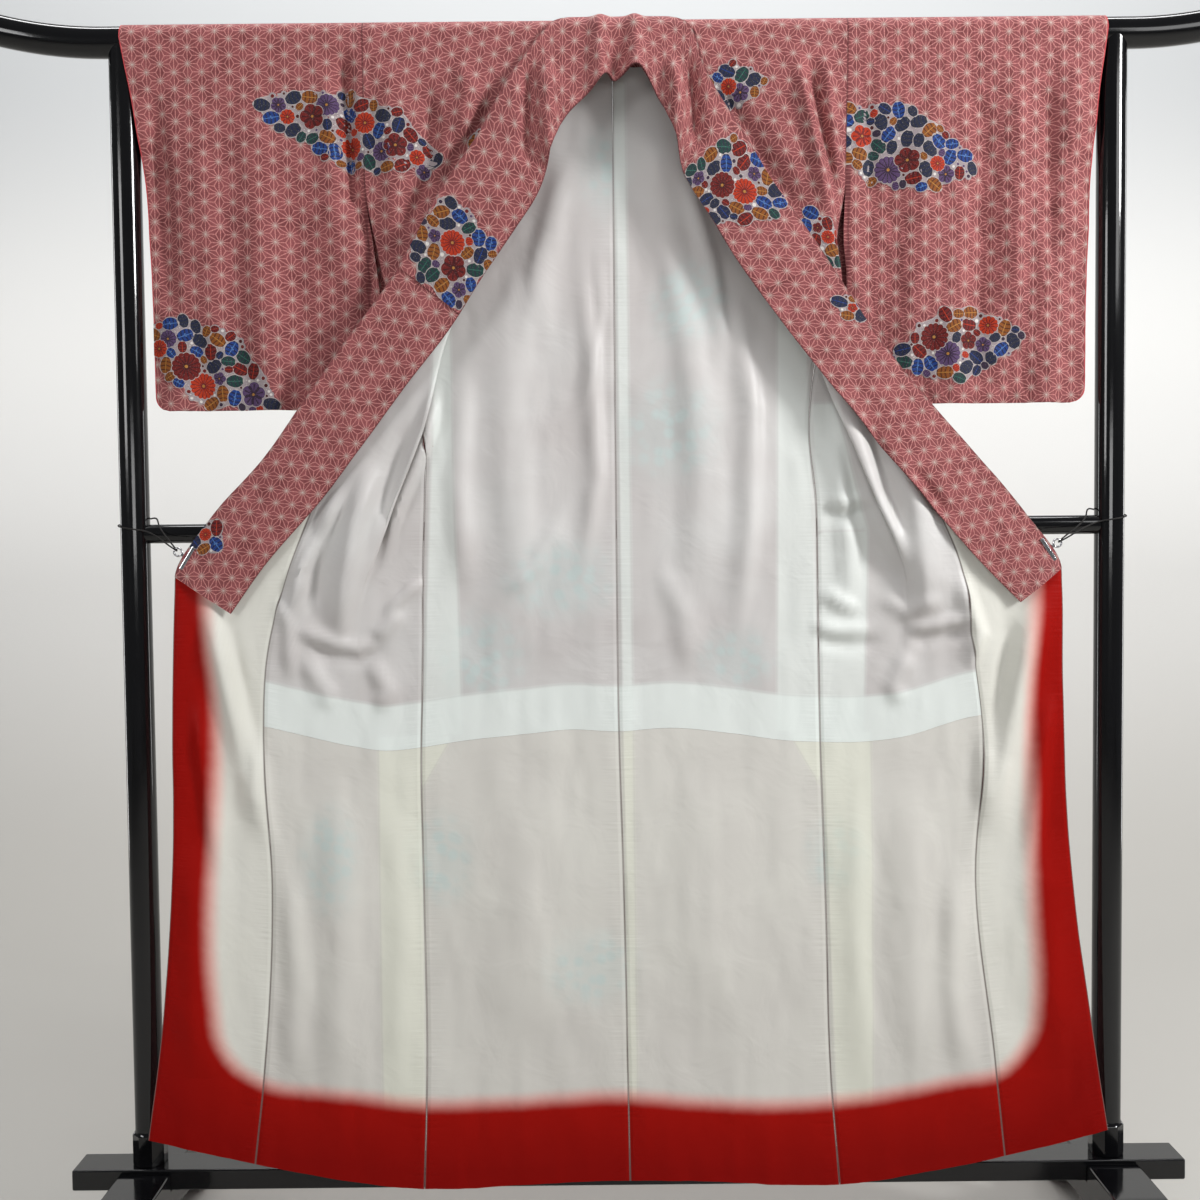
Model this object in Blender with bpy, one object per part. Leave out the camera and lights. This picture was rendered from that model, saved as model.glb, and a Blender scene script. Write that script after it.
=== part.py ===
"""Komon kimono opened out on a lacquered kimono stand.

The kimono hangs over the stand's round rail with its front panels swung out to the sides, so the
lining shows, and its wide collar lies opened over the front. Front is -Y, up is +Z, sizes are in
metres. A cloth panel is a grid of points worked out from a short table of sections: what lies on
it is made from the same points, moved along the panel's normals.
"""

import math

import bmesh
import bpy
import numpy as np

# Cloth
CLOTH = 0.0012  # wall of the outer cloth
LINING = 0.0010  # wall of the lining
GAP = 0.0003  # between two pieces
LINING_GAP = 0.0005  # between the outer cloth and the lining behind it
HALF = CLOTH / 2
LINING_NEAR = HALF + LINING_GAP  # from the middle of the outer cloth to the lining's near face
LINING_FAR = LINING_NEAR + LINING
LAYER = CLOTH + GAP  # from the middle of one outer layer to the next

# Stand
RAIL_RADIUS = 0.0215
RAIL_HEIGHT = 1.715
RAIL_STRAIGHT = 0.72  # half of the level stretch
RAIL_HALF = 0.925
RAIL_LIFT = 0.035  # how far the ends sweep up
POST_X = 0.695
POST_RADIUS = 0.0205
SOCKET_FLAT = 0.0225  # half width across the flats of a post's eight-sided base
SOCKET_HEIGHT = 0.045
CROSSBAR_RADIUS = 0.0135
CROSSBAR_HEIGHT = 1.025
BEAM_HALF = 0.80
BEAM_DEPTH = 0.057
BEAM_BOTTOM = 0.083
BEAM_TOP = 0.113
FOOT_HALF = 0.23
FOOT_WIDTH = 0.075
FOOT_TOP = 0.106
FOOT_TOE = 0.030  # height of the foot at its toes
FOOT_FLAT_TOP = 0.125  # half of the level top
ARCH_HALF = 0.15
ARCH_HEIGHT = 0.045
FOOT_EDGE = 0.006  # height of the step above a toe
LONG_BEVEL = 0.003
FOOT_BEVEL = 0.002
ROUND = 24  # sides of a round bar

# Garment levels
RAIL_STEP = 22.5  # degrees between the cloth's rows round the rail
SHOULDER = (RAIL_RADIUS + GAP + HALF) / math.cos(math.radians(RAIL_STEP / 2))  # the cloth's middle
ARMHOLE_END = 1.507
SIDE_SEAM_TOP = 1.28
LINING_SEAM = 0.735
OPEN_LINING_TOP = 1.43  # the front lining shows below this level
BACK_LINING_TOP = 1.68
HEM = 0.083
HEM_FADE = 0.95  # above this level the rows are level
HEM_CORNER_X = 0.686  # the hem rises outwards from the side seam to the front corner
HEM_SEAM_X = 0.293
HEM_CORNER_RISE = 0.080
HEM_MIDDLE_HALF = 0.22  # and a little towards the middle
HEM_MIDDLE_RISE = 0.009
COLLAR_END = 0.964
OVER_COLLAR_END = 1.386
NECK_X = 0.106  # half of the neck at the rail's front
SLEEVE_BOTTOM = 1.199
SLEEVE_CORNER = 0.020
CUFF_BLEND = 0.09  # height over which a cuff opens above its sewn edge
CUFF_START = 0.80  # part of the sleeve's width from which it closes towards its sewn edge
SEAM_HALF = GAP / 2

# Levels of the rows, shared by the pieces that meet at a seam
SEAM_LEVELS = (
    HEM, 0.22, 0.38, 0.55, LINING_SEAM, 0.85, COLLAR_END, 1.04, 1.12, 1.20, SIDE_SEAM_TOP,
)
OPEN_LEVELS = (1.315, 1.35, OVER_COLLAR_END, OPEN_LINING_TOP)
ARM_LEVELS = (ARMHOLE_END, 1.57, 1.63, BACK_LINING_TOP)
FRONT_LEVELS = (*SEAM_LEVELS, *OPEN_LEVELS, *ARM_LEVELS)
BACK_LEVELS = (*ARM_LEVELS[::-1], OPEN_LINING_TOP, *OPEN_LEVELS[1::-1], *SEAM_LEVELS[::-1])
SLEEVE_LEVELS = (SLEEVE_BOTTOM, 1.205, 1.22, 1.29, 1.37, 1.44, *ARM_LEVELS)
# Angles round the rail, from its front (180) over its top (90) to its back (0)
RAIL_ANGLES = tuple(180 - RAIL_STEP * i for i in range(9))
SLEEVE_COLUMNS = (0.0, 0.08, 0.22, 0.42, 0.62, CUFF_START, 0.92, 1.0)
FRONT_CELLS = (3, 1, 3, 3)  # columns between side, the two turns of the tuck, fold and front edge
TUCK_TURN = 0.003  # half the width of the tuck's bend
OKUMI_CELLS = 4
COLLAR_ACROSS = (0.0, 0.14, 0.28, 0.45, 0.65, 0.83, 1.0)  # the collar's columns, from its seam
LINING_SHORT = 0.0006  # how far the lining stops short of a panel's edges

# Sections of the front panels. The cloth runs from the side (armhole, then side seam) to a tuck,
# back to a fold and out again to the panel's front edge. x is measured outwards from the middle.
FRONT_COLUMNS = ("level", "side", "tuck", "tuck_y", "fold", "fold_y", "edge", "edge_y")
FRONT_LEFT = (
    (1.715, 0.350, 0.270, -0.0224, 0.140, -0.0224, 0.106, -0.0224),
    (1.650, 0.350, 0.262, -0.0260, 0.131, -0.0290, 0.152, -0.0350),
    (1.570, 0.350, 0.262, -0.0260, 0.153, -0.0310, 0.196, -0.0380),
    (1.500, 0.350, 0.270, -0.0240, 0.177, -0.0310, 0.246, -0.0380),
    (1.430, 0.341, 0.285, -0.0200, 0.196, -0.0310, 0.284, -0.0370),
    (1.370, 0.332, 0.318, -0.0150, 0.211, -0.0300, 0.308, -0.0370),
    (1.300, 0.305, 0.318, -0.0120, 0.243, -0.0280, 0.336, -0.0370),
    (1.165, 0.279, 0.320, -0.0140, 0.279, -0.0270, 0.391, -0.0360),
    (1.060, 0.280, 0.334, -0.0190, 0.322, -0.0290, 0.434, -0.0350),
    (0.980, 0.283, 0.355, -0.0205, 0.354, -0.0290, 0.466, -0.0340),
    (0.850, 0.285, 0.375, -0.0220, 0.415, -0.0270, 0.502, -0.0320),
    (0.735, 0.289, 0.355, -0.0235, 0.435, -0.0270, 0.510, -0.0310),
    (0.500, 0.288, 0.355, -0.0270, 0.430, -0.0290, 0.502, -0.0310),
    (0.250, 0.287, 0.360, -0.0300, 0.440, -0.0310, 0.516, -0.0330),
    (0.083, 0.293, 0.370, -0.0315, 0.455, -0.0325, 0.534, -0.0340),
)
FRONT_RIGHT = (
    (1.715, 0.320, 0.245, -0.0224, 0.140, -0.0224, 0.106, -0.0224),
    (1.650, 0.319, 0.252, -0.0290, 0.101, -0.0280, 0.124, -0.0350),
    (1.570, 0.318, 0.268, -0.0310, 0.125, -0.0300, 0.172, -0.0380),
    (1.500, 0.316, 0.287, -0.0300, 0.146, -0.0310, 0.214, -0.0380),
    (1.430, 0.306, 0.298, -0.0260, 0.166, -0.0310, 0.264, -0.0370),
    (1.370, 0.309, 0.309, -0.0190, 0.190, -0.0300, 0.298, -0.0370),
    (1.300, 0.285, 0.310, -0.0120, 0.250, -0.0280, 0.326, -0.0370),
    (1.165, 0.265, 0.336, -0.0140, 0.312, -0.0270, 0.386, -0.0360),
    (1.060, 0.274, 0.366, -0.0190, 0.356, -0.0290, 0.434, -0.0350),
    (0.980, 0.275, 0.394, -0.0205, 0.392, -0.0290, 0.470, -0.0340),
    (0.850, 0.276, 0.385, -0.0220, 0.425, -0.0265, 0.491, -0.0325),
    (0.735, 0.278, 0.350, -0.0235, 0.435, -0.0270, 0.505, -0.0310),
    (0.500, 0.284, 0.350, -0.0270, 0.430, -0.0290, 0.496, -0.0310),
    (0.250, 0.290, 0.360, -0.0300, 0.440, -0.0310, 0.522, -0.0330),
    (0.083, 0.302, 0.370, -0.0315, 0.460, -0.0325, 0.538, -0.0340),
)
# The back panels: depth of the cloth, and the line of the centre seam
BACK_COLUMNS = ("level", "depth", "centre_x")
BACK = (
    (1.715, 0.0224, -0.008),
    (1.025, -0.0149, -0.009),
    (0.900, -0.0175, -0.009),
    (0.735, -0.0205, -0.008),
    (0.500, -0.0245, -0.003),
    (0.250, -0.0280, 0.000),
    (0.083, -0.0306, 0.002),
)
# Front edges of the overlap panels, with the collar's seam above COLLAR_END
EDGE_COLUMNS = ("level", "left", "right", "depth")
EDGE = (
    (1.430, 0.2885, 0.2685, -0.0372),
    (1.386, 0.311, 0.294, -0.0370),
    (1.285, 0.387, 0.360, -0.0370),
    (1.202, 0.447, 0.426, -0.0370),
    (1.138, 0.493, 0.482, -0.0370),
    (1.041, 0.580, 0.564, -0.0365),
    (0.964, 0.628, 0.614, -0.0365),
    (0.790, 0.635, 0.617, -0.0390),
    (0.507, 0.641, 0.629, -0.0400),
    (0.292, 0.658, 0.655, -0.0400),
    (0.083, 0.684, 0.684, -0.0400),
)
# Free edge of the opened collar, beside the level of the seam across from it
FREE_COLUMNS = ("seam", "left", "left_z", "right", "right_z", "depth")
FREE = (
    (0.964, 0.549, 0.912, 0.555, 0.917, -0.0460),
    (1.041, 0.500, 0.979, 0.497, 0.976, -0.0470),
    (1.138, 0.413, 1.077, 0.405, 1.080, -0.0480),
    (1.202, 0.366, 1.138, 0.352, 1.146, -0.0480),
    (1.285, 0.303, 1.221, 0.276, 1.240, -0.0490),
    (1.386, 0.227, 1.318, 0.196, 1.345, -0.0490),
    (1.430, 0.197, 1.365, 0.164, 1.390, -0.0490),
    (1.500, 0.148, 1.435, 0.127, 1.450, -0.0490),
    (1.570, 0.114, 1.486, 0.097, 1.497, -0.0480),
    (1.630, 0.099, 1.526, 0.084, 1.528, -0.0470),
    (1.680, 0.088, 1.572, 0.077, 1.575, -0.0460),
    (1.715, 0.073, 1.597, 0.066, 1.600, -0.0440),
)
# The same edge where the seam lies on the rail, by the angle of the seam's row
NECK_COLUMNS = ("angle", "seam_x", "left", "left_z", "right", "right_z")
NECK = (
    (157.5, 0.097, 0.058, 1.611, 0.055, 1.616),
    (135.0, 0.085, 0.042, 1.626, 0.044, 1.640),
    (112.5, 0.064, 0.027, 1.642, 0.034, 1.656),
    (90.0, 0.032, 0.016, 1.652, 0.020, 1.662),
)
NECK_BACK = 67.5  # angle of the seam at the middle of the neck
NECK_DEPTH = -0.040
# The collar stands up in two ridges at the middle, with a pinched valley between them
VALLEY_X = -0.006
VALLEY_Z = 1.646
RIDGE = 0.011
RIDGE_HALF = 0.016
RIDGES_X = (-0.026, 0.024)
COLLAR_BELLY = 0.003
COLLAR_RADIUS = SHOULDER + LAYER + 0.0012  # the collar's middle over the rail

# Sleeves: where they begin and end, outwards from the middle
SLEEVE_ROWS = ("level", "left_in", "left_out", "right_in", "right_out")
SLEEVE = (
    (1.715, 0.350, 0.694, 0.320, 0.682),
    (1.600, 0.350, 0.676, 0.318, 0.669),
    (1.507, 0.350, 0.668, 0.317, 0.665),
    (1.430, 0.347, 0.665, 0.320, 0.663),
    (1.370, 0.345, 0.663, 0.324, 0.661),
    (1.199, 0.343, 0.661, 0.327, 0.659),
)

# Clips and ties
CLIP_PLACE = 0.36  # from the collar's end towards its next row
CLIP_DEPTH = -0.03855
CLIP_HALF = 0.00335  # half the room between the jaws
CLIP_LENGTH = 0.036
CLIP_WALL = 0.0012
CLIP_GRIP = 0.009  # how far the jaws reach over the cloth
CLIP_CLEAR = 0.0006  # between the cloth's edge and the clip's back
CLIP_CORNER = 0.002
NECK_LENGTH = 0.007
NECK_WIDTH = 0.005
EYE_RADIUS = 0.0055
EYE_WIRE = 0.0012
TIE_RADIUS = 0.0011
TIE_TURN = 0.0029  # radius of the tie's turn through the eye
# Where the tie crosses the crossbar, outwards from the middle
TIE_OVER = ((0.655, -0.0165, 1.0345), (0.664, -0.0010, 1.0465))
TIE_LOW = 1.030  # height of the tie on the post's front
TIE_HIGH = 1.047  # and where it comes round from behind

# Finishes: base colour in linear light, roughness, metallic
FINISHES = {
    "outer_cloth": ((0.54, 0.20, 0.20), 0.75, 0.0),
    "lining": ((0.60, 0.58, 0.56), 0.45, 0.0),
    "skirt_lining": ((0.38, 0.010, 0.006), 0.5, 0.0),
    "lacquer": ((0.006, 0.006, 0.008), 0.12, 0.0),
    "chrome": ((0.62, 0.62, 0.63), 0.12, 1.0),
    "elastic": ((0.010, 0.010, 0.012), 0.85, 0.0),
}


def clear_scene():
    """Remove the objects that the file opens with."""
    for obj in list(bpy.data.objects):
        bpy.data.objects.remove(obj, do_unlink=True)


def finish(name):
    """The Principled material of a finish, made once."""
    if name in bpy.data.materials:
        return bpy.data.materials[name]
    colour, roughness, metallic = FINISHES[name]
    material = bpy.data.materials.new(name)
    material.use_nodes = True
    shader = material.node_tree.nodes["Principled BSDF"]
    shader.inputs["Base Color"].default_value = (*colour, 1.0)
    shader.inputs["Roughness"].default_value = roughness
    shader.inputs["Metallic"].default_value = metallic
    return material


def add_mesh(name, points, faces, material):
    """A named object from points and faces, shaded smooth but for its sharp edges."""
    mesh = bpy.data.meshes.new(name)
    mesh.from_pydata([tuple(map(float, p)) for p in points], [], [tuple(map(int, f)) for f in faces])
    mesh.materials.append(finish(material))
    mesh.shade_smooth()
    mesh.set_sharp_from_angle(angle=math.radians(40))
    obj = bpy.data.objects.new(name, mesh)
    bpy.context.scene.collection.objects.link(obj)
    return obj


def face_out(obj):
    """Turn all the faces of a closed mesh outwards."""
    work = bmesh.new()
    work.from_mesh(obj.data)
    bmesh.ops.recalc_face_normals(work, faces=work.faces)
    work.to_mesh(obj.data)
    work.free()
    return obj


def smooth(keys, values, at):
    """A smooth curve through values at rising keys, read at each place in at."""
    keys, values = np.asarray(keys, float), np.asarray(values, float)
    at = np.clip(np.asarray(at, float), keys[0], keys[-1])
    slopes = np.gradient(values, keys, axis=0)
    i = np.clip(np.searchsorted(keys, at, side="right") - 1, 0, len(keys) - 2)
    width = keys[i + 1] - keys[i]
    t = (at - keys[i]) / width
    if values.ndim == 2:
        t, width = t[..., None], width[..., None]
    return (
        (2 * t**3 - 3 * t**2 + 1) * values[i]
        + (t**3 - 2 * t**2 + t) * width * slopes[i]
        + (3 * t**2 - 2 * t**3) * values[i + 1]
        + (t**3 - t**2) * width * slopes[i + 1]
    )


def column(table, names, name, at, key="level"):
    """One named column of a table, as a smooth curve over its key column."""
    rows = sorted(table, key=lambda row: row[names.index(key)])
    keys = [row[names.index(key)] for row in rows]
    return smooth(keys, [row[names.index(name)] for row in rows], at)


def step(value):
    """0 to 1 with soft ends."""
    value = np.clip(value, 0.0, 1.0)
    return value * value * (3 - 2 * value)


def normals(grid, sign):
    """Vertex normals of a grid, a little longer where it bends so that a wall keeps its width."""
    faces = np.cross(grid[1:, 1:] - grid[:-1, :-1], grid[1:, :-1] - grid[:-1, 1:])
    faces /= np.linalg.norm(faces, axis=-1, keepdims=True)
    total = np.zeros_like(grid)
    count = np.zeros(grid.shape[:2] + (1,))
    halves = (slice(0, -1), slice(1, None))
    corners = [(rows, cols) for rows in halves for cols in halves]
    for rows, cols in corners:
        total[rows, cols] += faces
        count[rows, cols] += 1
    unit = total / np.linalg.norm(total, axis=-1, keepdims=True)
    bend = np.zeros(grid.shape[:2] + (1,))
    for rows, cols in corners:
        bend[rows, cols] += (faces * unit[rows, cols]).sum(axis=-1, keepdims=True)
    return sign * unit / np.clip(bend / count, 0.75, 1.0)


def wall(name, grid, out, low, high, sign, material):
    """A closed wall between the grid moved by low and by high along its outward normals, out."""
    rows, cols = grid.shape[:2]
    points = np.concatenate([(grid + out * high).reshape(-1, 3), (grid + out * low).reshape(-1, 3)])
    index = np.arange(rows * cols).reshape(rows, cols)
    a, b, c, d = index[:-1, :-1].ravel(), index[:-1, 1:].ravel(), index[1:, 1:].ravel(), index[1:, :-1].ravel()
    skin = np.concatenate([np.stack([a, b, c], 1), np.stack([a, c, d], 1)])
    rim = np.concatenate([index[0, :], index[1:, -1], index[-1, -2::-1], index[-2:0:-1, 0]])
    after = np.roll(rim, -1)
    under = rows * cols
    edge = np.concatenate([
        np.stack([rim, rim + under, after + under], 1),
        np.stack([rim, after + under, after], 1),
    ])
    faces = np.concatenate([skin, skin[:, ::-1] + under, edge])
    return add_mesh(name, points, faces if sign > 0 else faces[:, ::-1], material)


def on_rail(angle, radius):
    """y and z on a circle round the rail: 180 degrees is its front, 90 its top."""
    turn = np.radians(angle)
    return radius * np.cos(turn), RAIL_HEIGHT + radius * np.sin(turn)


def drop_half(level):
    """Half the depth between a sleeve's front and back layer, from the rail down to its bottom seam."""
    part = np.clip((np.asarray(level, float) - SLEEVE_BOTTOM) / (RAIL_HEIGHT - SLEEVE_BOTTOM), 0.0, 1.0)
    closed = HALF + SEAM_HALF
    return closed + (SHOULDER - closed) * part**0.9


def back_depth(level):
    """y of the back panels' middle."""
    return column(BACK, BACK_COLUMNS, "depth", level)


def side_depth(level, front):
    """y of a body panel's side edge: with the sleeve at the armhole, closed at the side seam."""
    shut = back_depth(level)
    opened = -drop_half(level) if front else drop_half(level)
    return shut + (opened - shut) * step((level - SIDE_SEAM_TOP) / (ARMHOLE_END - SIDE_SEAM_TOP))


def hem_rise(x, level):
    """How far a row's point stands above the row's level: the hem rises outwards and at the middle."""
    out = np.clip((np.abs(x) - HEM_SEAM_X) / (HEM_CORNER_X - HEM_SEAM_X), 0.0, 1.0) ** 1.4
    middle = np.clip(1 - (x / HEM_MIDDLE_HALF) ** 2, 0.0, 1.0)
    fade = np.clip((HEM_FADE - level) / (HEM_FADE - HEM), 0.0, 1.0) ** 1.2
    return (HEM_CORNER_RISE * out + HEM_MIDDLE_RISE * middle) * fade


def unit(vector):
    """The vector at length 1."""
    return vector / np.linalg.norm(vector)


def spans(controls):
    """A smooth section through its control points, with FRONT_CELLS columns between them."""
    keys = np.concatenate([[0], np.cumsum(np.linalg.norm(np.diff(controls, axis=0), axis=1) ** 0.5)])
    at = [keys[0]]
    for start, end, cells in zip(keys[:-1], keys[1:], FRONT_CELLS):
        at += list(np.linspace(start, end, cells + 1)[1:])
    return smooth(keys, controls, at)


def armhole_x(side, level):
    """How far out the armhole's seam lies."""
    table = FRONT_LEFT if side < 0 else FRONT_RIGHT
    return float(column(table, FRONT_COLUMNS, "side", level))


def front_row(table, level):
    """Plan points (x outwards, y) of a front panel at one level."""
    read = {name: float(column(table, FRONT_COLUMNS, name, level)) for name in FRONT_COLUMNS[1:]}
    sewn = level < SIDE_SEAM_TOP
    side = (read["side"] + (GAP if sewn else -SEAM_HALF), float(side_depth(level, True)))
    side, edge = np.array(side), np.array((read["edge"] - SEAM_HALF, read["edge_y"]))
    tuck, fold = np.array((read["tuck"], read["tuck_y"])), np.array((read["fold"], read["fold_y"]))
    turn = TUCK_TURN * unit(unit(tuck - side) + unit(fold - tuck))  # along the cloth at the tuck
    return spans(np.array([side, tuck - turn, tuck + turn, fold, edge]))


def neck_edge(angle):
    """How far from the middle the body's cloth ends at an angle round the rail."""
    table = {180: NECK_X, **{row[0]: row[1] for row in NECK}}
    return table.get(angle, 0.0)


def body_grid(side, table):
    """Points of a body panel: up the front, over the rail and down the back."""
    rows = []
    for level in FRONT_LEVELS:
        plan = front_row(table, level)
        x = side * plan[:, 0]
        rows.append(np.stack([x, plan[:, 1], level + hem_rise(x, level)], 1))
    count = sum(FRONT_CELLS) + 1
    armhole = armhole_x(side, RAIL_HEIGHT) - SEAM_HALF
    across = np.linspace(0, 1, count)
    centre = float(column(BACK, BACK_COLUMNS, "centre_x", RAIL_HEIGHT))
    for angle in RAIL_ANGLES:
        y, z = on_rail(angle, SHOULDER)
        inner = neck_edge(angle)
        last = side * inner if inner else centre + side * SEAM_HALF
        x = side * armhole * (1 - across) + last * across
        rows.append(np.stack([x, np.full(count, y), np.full(count, z)], 1))
    for level in BACK_LEVELS:
        edge = float(column(table, FRONT_COLUMNS, "side", level))
        edge -= SEAM_HALF if level >= SIDE_SEAM_TOP else GAP
        last = float(column(BACK, BACK_COLUMNS, "centre_x", level)) + side * SEAM_HALF
        x = side * edge * (1 - across) + last * across
        depth = float(back_depth(level))
        y = depth + (float(side_depth(level, False)) - depth) * (1 - step(across * 3))
        rows.append(np.stack([x, y, level + hem_rise(x, level)], 1))
    return np.array(rows)


def okumi_grid(side, table, levels):
    """Points of an overlap panel, from its seam on the front panel to the front edge."""
    name = "left" if side < 0 else "right"
    across = np.linspace(0, 1, OKUMI_CELLS + 1)
    rows = []
    for level in levels:
        start = float(column(table, FRONT_COLUMNS, "edge", level)) + SEAM_HALF
        start_y = float(column(table, FRONT_COLUMNS, "edge_y", level))
        end = float(column(EDGE, EDGE_COLUMNS, name, level))
        end_y = float(column(EDGE, EDGE_COLUMNS, "depth", level))
        x = side * (start + (end - start) * across)
        rows.append(np.stack([x, start_y + (end_y - start_y) * across, level + hem_rise(x, level)], 1))
    return np.array(rows)


def sleeve_grid(side):
    """Points of a sleeve: up its front layer, over the rail and down its back layer."""
    name = "left" if side < 0 else "right"
    across = np.array(SLEEVE_COLUMNS)
    levels = np.array(SLEEVE_LEVELS)

    def ends(level):
        start = armhole_x(side, level) + SEAM_HALF
        if level < ARMHOLE_END:
            start = float(column(SLEEVE, SLEEVE_ROWS, name + "_in", level)) + SEAM_HALF
        end = float(column(SLEEVE, SLEEVE_ROWS, name + "_out", level))
        low = max(0.0, SLEEVE_BOTTOM + SLEEVE_CORNER - level)
        return start, end - SLEEVE_CORNER + math.sqrt(max(0.0, SLEEVE_CORNER**2 - low**2))

    def layer(level, facing):
        start, end = ends(level)
        body = float(drop_half(level))
        shut = float(drop_half(SLEEVE_BOTTOM))
        cuff = shut + (body - shut) * float(step((level - ARMHOLE_END) / CUFF_BLEND))
        depth = body + (cuff - body) * step((across - CUFF_START) / (1 - CUFF_START))
        x = side * (start + (end - start) * across)
        return np.stack([x, facing * depth, np.full(len(across), level)], 1)

    rows = [layer(level, -1) for level in levels]
    start, end = ends(RAIL_HEIGHT)
    for angle in RAIL_ANGLES:
        y, z = on_rail(angle, SHOULDER)
        x = side * (start + (end - start) * across)
        rows.append(np.stack([x, np.full(len(across), y), np.full(len(across), z)], 1))
    rows += [layer(level, 1) for level in levels[::-1]]
    return np.array(rows)


def over_rail(seam, free, angle):
    """Points across the collar from a seam at an angle on the rail, round its front, to the free edge."""
    arc = [on_rail(turn, COLLAR_RADIUS) for turn in np.linspace(angle, 180, 13)]
    path = np.array([*arc, free[1:]])
    length = np.concatenate([[0], np.cumsum(np.linalg.norm(np.diff(path, axis=0), axis=1))])
    across = np.array(COLLAR_ACROSS)
    y, z = (np.interp(across * length[-1], length, path[:, k]) for k in (0, 1))
    return np.stack([seam + (free[0] - seam) * across, y, z], 1)


def raise_ridges(line):
    """Lift the collar's middle into two ridges that stand off the rail."""
    ridge = sum(step(1 - np.abs(line[:, 0] - x) / RIDGE_HALF) for x in RIDGES_X)
    out = line[:, 1:] - (0.0, RAIL_HEIGHT)
    out[:, 1] = np.maximum(out[:, 1], 0.0)
    out /= np.linalg.norm(out, axis=1, keepdims=True)
    line[:, 1:] += out * (RIDGE * ridge * np.minimum(1.0, np.array(COLLAR_ACROSS) * 3))[:, None]
    return line


def collar_side(side, body, okumi):
    """Sections of the collar on one side, from its end up to the last row before the middle."""
    name = "left" if side < 0 else "right"
    across = np.array(COLLAR_ACROSS)[:, None]
    sections = []
    for row, level in enumerate(FRONT_LEVELS):
        if level < COLLAR_END:
            continue
        seam = (okumi if level < OPEN_LINING_TOP else body)[row, -1].copy()
        seam[1] -= LAYER + (LINING + GAP) * (1 - step((level - OPEN_LINING_TOP) / 0.07))
        free = np.array([
            side * float(column(FREE, FREE_COLUMNS, name, level, "seam")),
            float(column(FREE, FREE_COLUMNS, "depth", level, "seam")),
            float(column(FREE, FREE_COLUMNS, name + "_z", level, "seam")),
        ])
        line = seam + (free - seam) * across
        line[:, 1] -= COLLAR_BELLY * np.sin(math.pi * across[:, 0])
        sections.append(line)
    first = dict(zip(FREE_COLUMNS, FREE[-1]), angle=180, seam_x=NECK_X)
    for read in (first, *(dict(zip(NECK_COLUMNS, row)) for row in NECK)):
        free = (side * read[name], read.get("depth", NECK_DEPTH), read[name + "_z"])
        sections.append(raise_ridges(over_rail(side * read["seam_x"], free, read["angle"])))
    return sections


def collar_grid(panels):
    """Points of the whole collar, from its left end round the neck to its right end."""
    left = collar_side(-1, *panels[-1])
    right = collar_side(1, *panels[1])
    valley = over_rail(VALLEY_X, (VALLEY_X, -COLLAR_RADIUS, VALLEY_Z), NECK_BACK)
    return np.array(left + [valley] + right[::-1])


def tube(name, path, radii, material, sides=ROUND, closed=False):
    """A round bar along a path, with a radius at each point, closed at its ends or into a ring."""
    path = np.asarray(path, float)
    if closed:
        along = np.roll(path, -1, axis=0) - np.roll(path, 1, axis=0)
    else:
        along = np.gradient(path, axis=0)
    along /= np.linalg.norm(along, axis=1, keepdims=True)
    spread = path.max(axis=0) - path.min(axis=0)
    across = np.eye(3)[int(np.argmin(spread))]
    first = np.cross(along, across)
    first /= np.linalg.norm(first, axis=1, keepdims=True)
    second = np.cross(along, first)
    turn = np.linspace(0, 2 * math.pi, sides, endpoint=False)
    ring = first[:, None] * np.cos(turn)[None, :, None] + second[:, None] * np.sin(turn)[None, :, None]
    points = (path[:, None] + ring * np.asarray(radii, float).reshape(-1, 1, 1)).reshape(-1, 3)
    faces = []
    loops = len(path)
    for i in range(loops if closed else loops - 1):
        here, there = i * sides, (i + 1) % loops * sides
        for k in range(sides):
            after = (k + 1) % sides
            faces.append((here + k, here + after, there + after, there + k))
    if not closed:
        faces.append(tuple(range(sides))[::-1])
        faces.append(tuple(range((loops - 1) * sides, loops * sides)))
    return add_mesh(name, points, faces, material)


def build_rail():
    """The round rail, level over the posts, with ends that sweep up and are rounded off."""
    sweep = np.linspace(RAIL_STRAIGHT, RAIL_HALF - RAIL_RADIUS, 7)[1:]
    rounding = RAIL_HALF - RAIL_RADIUS * (1 - np.sin(np.radians((30, 55, 75))))
    out = np.concatenate([[0.0, RAIL_STRAIGHT], sweep, rounding])
    lift = RAIL_LIFT * np.clip((out - RAIL_STRAIGHT) / (RAIL_HALF - RAIL_STRAIGHT), 0, 1) ** 2
    past = (out - RAIL_HALF + RAIL_RADIUS).clip(0) / RAIL_RADIUS
    radius = RAIL_RADIUS * np.sqrt(np.clip(1 - past**2, 0.02, 1))
    half = np.stack([out, np.zeros(len(out)), RAIL_HEIGHT + lift], 1)
    path = np.concatenate([half[:0:-1] * (-1, 1, 1), half])
    tube("rail", path, np.concatenate([radius[:0:-1], radius]), "lacquer")


def saddle_bar(name, rings, material):
    """A bar through rings of points whose ends are ruled across, so that they fit round another bar."""
    points = np.concatenate(rings)
    faces = []
    for i in range(len(rings) - 1):
        for k in range(ROUND):
            after = (k + 1) % ROUND
            faces.append((i * ROUND + k, i * ROUND + after, (i + 1) * ROUND + after, (i + 1) * ROUND + k))
    last = (len(rings) - 1) * ROUND
    for k in range(ROUND // 2):
        a, b, c, d = k, (k + 1) % ROUND, ROUND - k - 1, (ROUND - k) % ROUND
        corners = [a, b, c, d]
        lower = list(dict.fromkeys(corners[::-1]))
        upper = list(dict.fromkeys(corner + last for corner in corners))
        faces.append(tuple(lower))
        faces.append(tuple(upper))
    return face_out(add_mesh(name, points, faces, material))


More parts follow.
